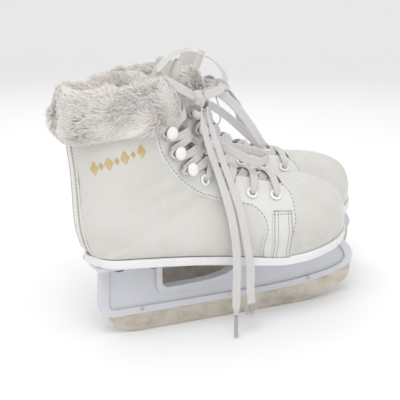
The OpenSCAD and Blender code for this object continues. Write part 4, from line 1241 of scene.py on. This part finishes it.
def knot():
    """The bow's knot: a lace wound round the crossing, with two bulging folds."""
    shape = Shape()
    for rx, ry, wide, tilt, turn, shift, size in ((6.6, 5.2, 7.4, 20, 65, (0, 0, 0), 1.5),
                                            (5.4, 4.6, 7.0, 75, 20, (2.5, -1, -3), 1.4),
                                            (5.0, 4.2, 6.6, -35, 10, (-1, -1.5, 3), 1.3)):
        a = np.linspace(0, 2 * np.pi * 1.05, 60)
        ring = np.stack([rx * np.cos(a), ry * np.sin(a), .8 * np.sin(a / 2)], -1)
        axis = np.broadcast_to([0, 0, 1.0], ring.shape)
        p, q = math.radians(tilt), math.radians(turn)
        rot_x = np.array([[1, 0, 0], [0, math.cos(p), -math.sin(p)], [0, math.sin(p), math.cos(p)]])
        rot_z = np.array([[math.cos(q), -math.sin(q), 0], [math.sin(q), math.cos(q), 0], [0, 0, 1]])
        turn_all = rot_z @ rot_x
        sweep(shape, ring @ turn_all.T + KNOT + shift, axis @ turn_all.T, wide, size, LACE_SECTION)
    a = np.linspace(0, np.pi, 14)
    core = lathe(np.column_stack([4.6 * np.sin(a), -4.6 * np.cos(a)]), 20)
    shape.grid(core + KNOT, closed_j=True)
    return shape


def frayed_end(rows, seed):
    """Loose yarns at the end of a lace that has lost its tip."""
    shape = Shape()
    r = np.random.default_rng(seed)
    end = np.array(rows[-1][:3], float)
    section = round_section(5)
    for _ in range(60):
        across = r.uniform(-3.2, 3.2)
        long = r.uniform(4, 11)
        spread = np.array([across * .8 + r.normal() * 1.5, r.normal() * 1.6, -long])
        u = np.linspace(0, 1, 6)[:, None]
        line = end + [across, 0, .8] + spread * u + np.array([r.normal(), r.normal(), 0]) * .8 * u ** 2
        sweep(shape, line, np.broadcast_to([1.0, .2, .1], line.shape), .45, .4, section, tone=.7)
    return shape


# ---------------------------------------------------------------- assembly
CAD_MATERIAL = {"blade": "blade", "holder": "holder", "blade_pins": "pin", "holder_screws": "screw",
                "insole_board": "board", "footbed": "lining", "heel_counter": "board", "toe_puff": "board",
                "aglet": "aglet"}
EDGE_ROUND = {"blade": .3, "holder": .7, "holder_screws": .2}


def dress_upper(skate):
    for part, make, look, slot in (
            ("quarter_outer", lambda: quarter(1), "leather", "leather"),
            ("quarter_inner", lambda: quarter(-1), "leather", "leather"),
            ("vamp", vamp, "leather", "leather"),
            ("front_panels", lambda: joined(panel(1), panel(-1)), "trim", "trim_leather"),
            ("side_patches", lambda: joined(patch(1), patch(-1)), "trim", "trim_leather"),
            ("eyestay_outer", lambda: stay(1), "trim", "trim_leather"),
            ("eyestay_inner", lambda: stay(-1), "trim", "trim_leather"),
            ("backstay", backstay, "trim", "trim_leather")):
        build(part, make(), M[look], skate, stands_for=[part])
    build("facing_edge_outer", facing_edge(1), M["raw_edge"], skate)
    build("facing_edge_inner", facing_edge(-1), M["raw_edge"], skate)
    build("lining", lining(), M["lining"], skate, stands_for=["lining"])


def dress_tongue(skate):
    tongue = build("tongue", pad(1.72, 15.62, [(1.72, .30), (15.62, .24)], 120, 40, LIN_IN - .4 - TONGUE,
                   LIN_IN - .4, (-.55, .55)), M["tongue"], skate, stands_for=["tongue"])
    flap_shape = pad(.1, 1.46, [(.1, .20), (.4, .235), (1.46, .235)], 50, 50, LIN_IN - 1.4 - TONGUE,
                     LIN_IN - 1.4, ())
    flap_shape.points = [lean_points(np.vstack(flap_shape.points))]
    flap = build("tongue_flap", flap_shape, M["tongue"], skate,
                 body=skate + "_flap", stands_for=["tongue_flap"])
    fold = make_mesh(f"{skate}_flap_fold_look", flap_fold(), skate)
    tidy(fold)
    fold.data.materials.append(M["tongue"])
    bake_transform(fold)


def dress_details(skate):
    build("seams", seam_rows(), M["thread"], skate)
    build("patch_seams", patch_rows(), M["thread"], skate)
    build("backstay_seams", backstay_rows(), M["gold_thread"], skate)
    build("ornament", gold_ornament(), M["gold"], skate)
    build("eyelets", eyelets(), M["eyelet"], skate, stands_for=["eyelets"])
    build("hooks", hooks(), M["hook"], skate, stands_for=["hooks"])
    build("outsole", outsole(), M["sole"], skate, stands_for=["outsole"])
    build("fur_base", fur_base(), M["fur_base"], skate, stands_for=["fur_collar"])
    for k in range(3):
        build(f"fur_{k + 1}", fur_strands(7000, 100 + k), M["fur"], skate, closed=False)


def dress_laces(skate):
    build("lace", threaded_lace(), M["lace"], skate, stands_for=["lace"])
    build("knot", knot(), M["lace"], skate, stands_for=["knot"])
    for part, (rows, far) in FREE_RUNS[skate].items():
        shape, centres = free_run(rows, (1.0, .45 if far == "fitting" else 1.0))
        run = build(part, shape, M["lace"], skate, stands_for=[part])
        with_pieces = []
        if far == "fitting":
            with_pieces = [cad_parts[skate + "_aglet"]]
        if far == "bare":
            with_pieces = [build("frayed_end", frayed_end(rows, 5), M["lace"], skate)]


def dress_cad(skate):
    """Materials and rounded edges for the CAD nodes that stay in view."""
    for name, key in CAD_MATERIAL.items():
        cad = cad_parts[f"{skate}_{name}"]
        cad.data.materials.clear()
        cad.data.materials.append(M[key])
        if name in EDGE_ROUND:
            bevel = cad.modifiers.new("edges", "BEVEL")
            bevel.width, bevel.segments, bevel.limit_method = EDGE_ROUND[name] * MM, 3, "ANGLE"
            bevel.angle_limit = math.radians(35)


for skate in SKATES:
    for dress in (dress_upper, dress_tongue, dress_details, dress_laces, dress_cad):
        dress(skate)
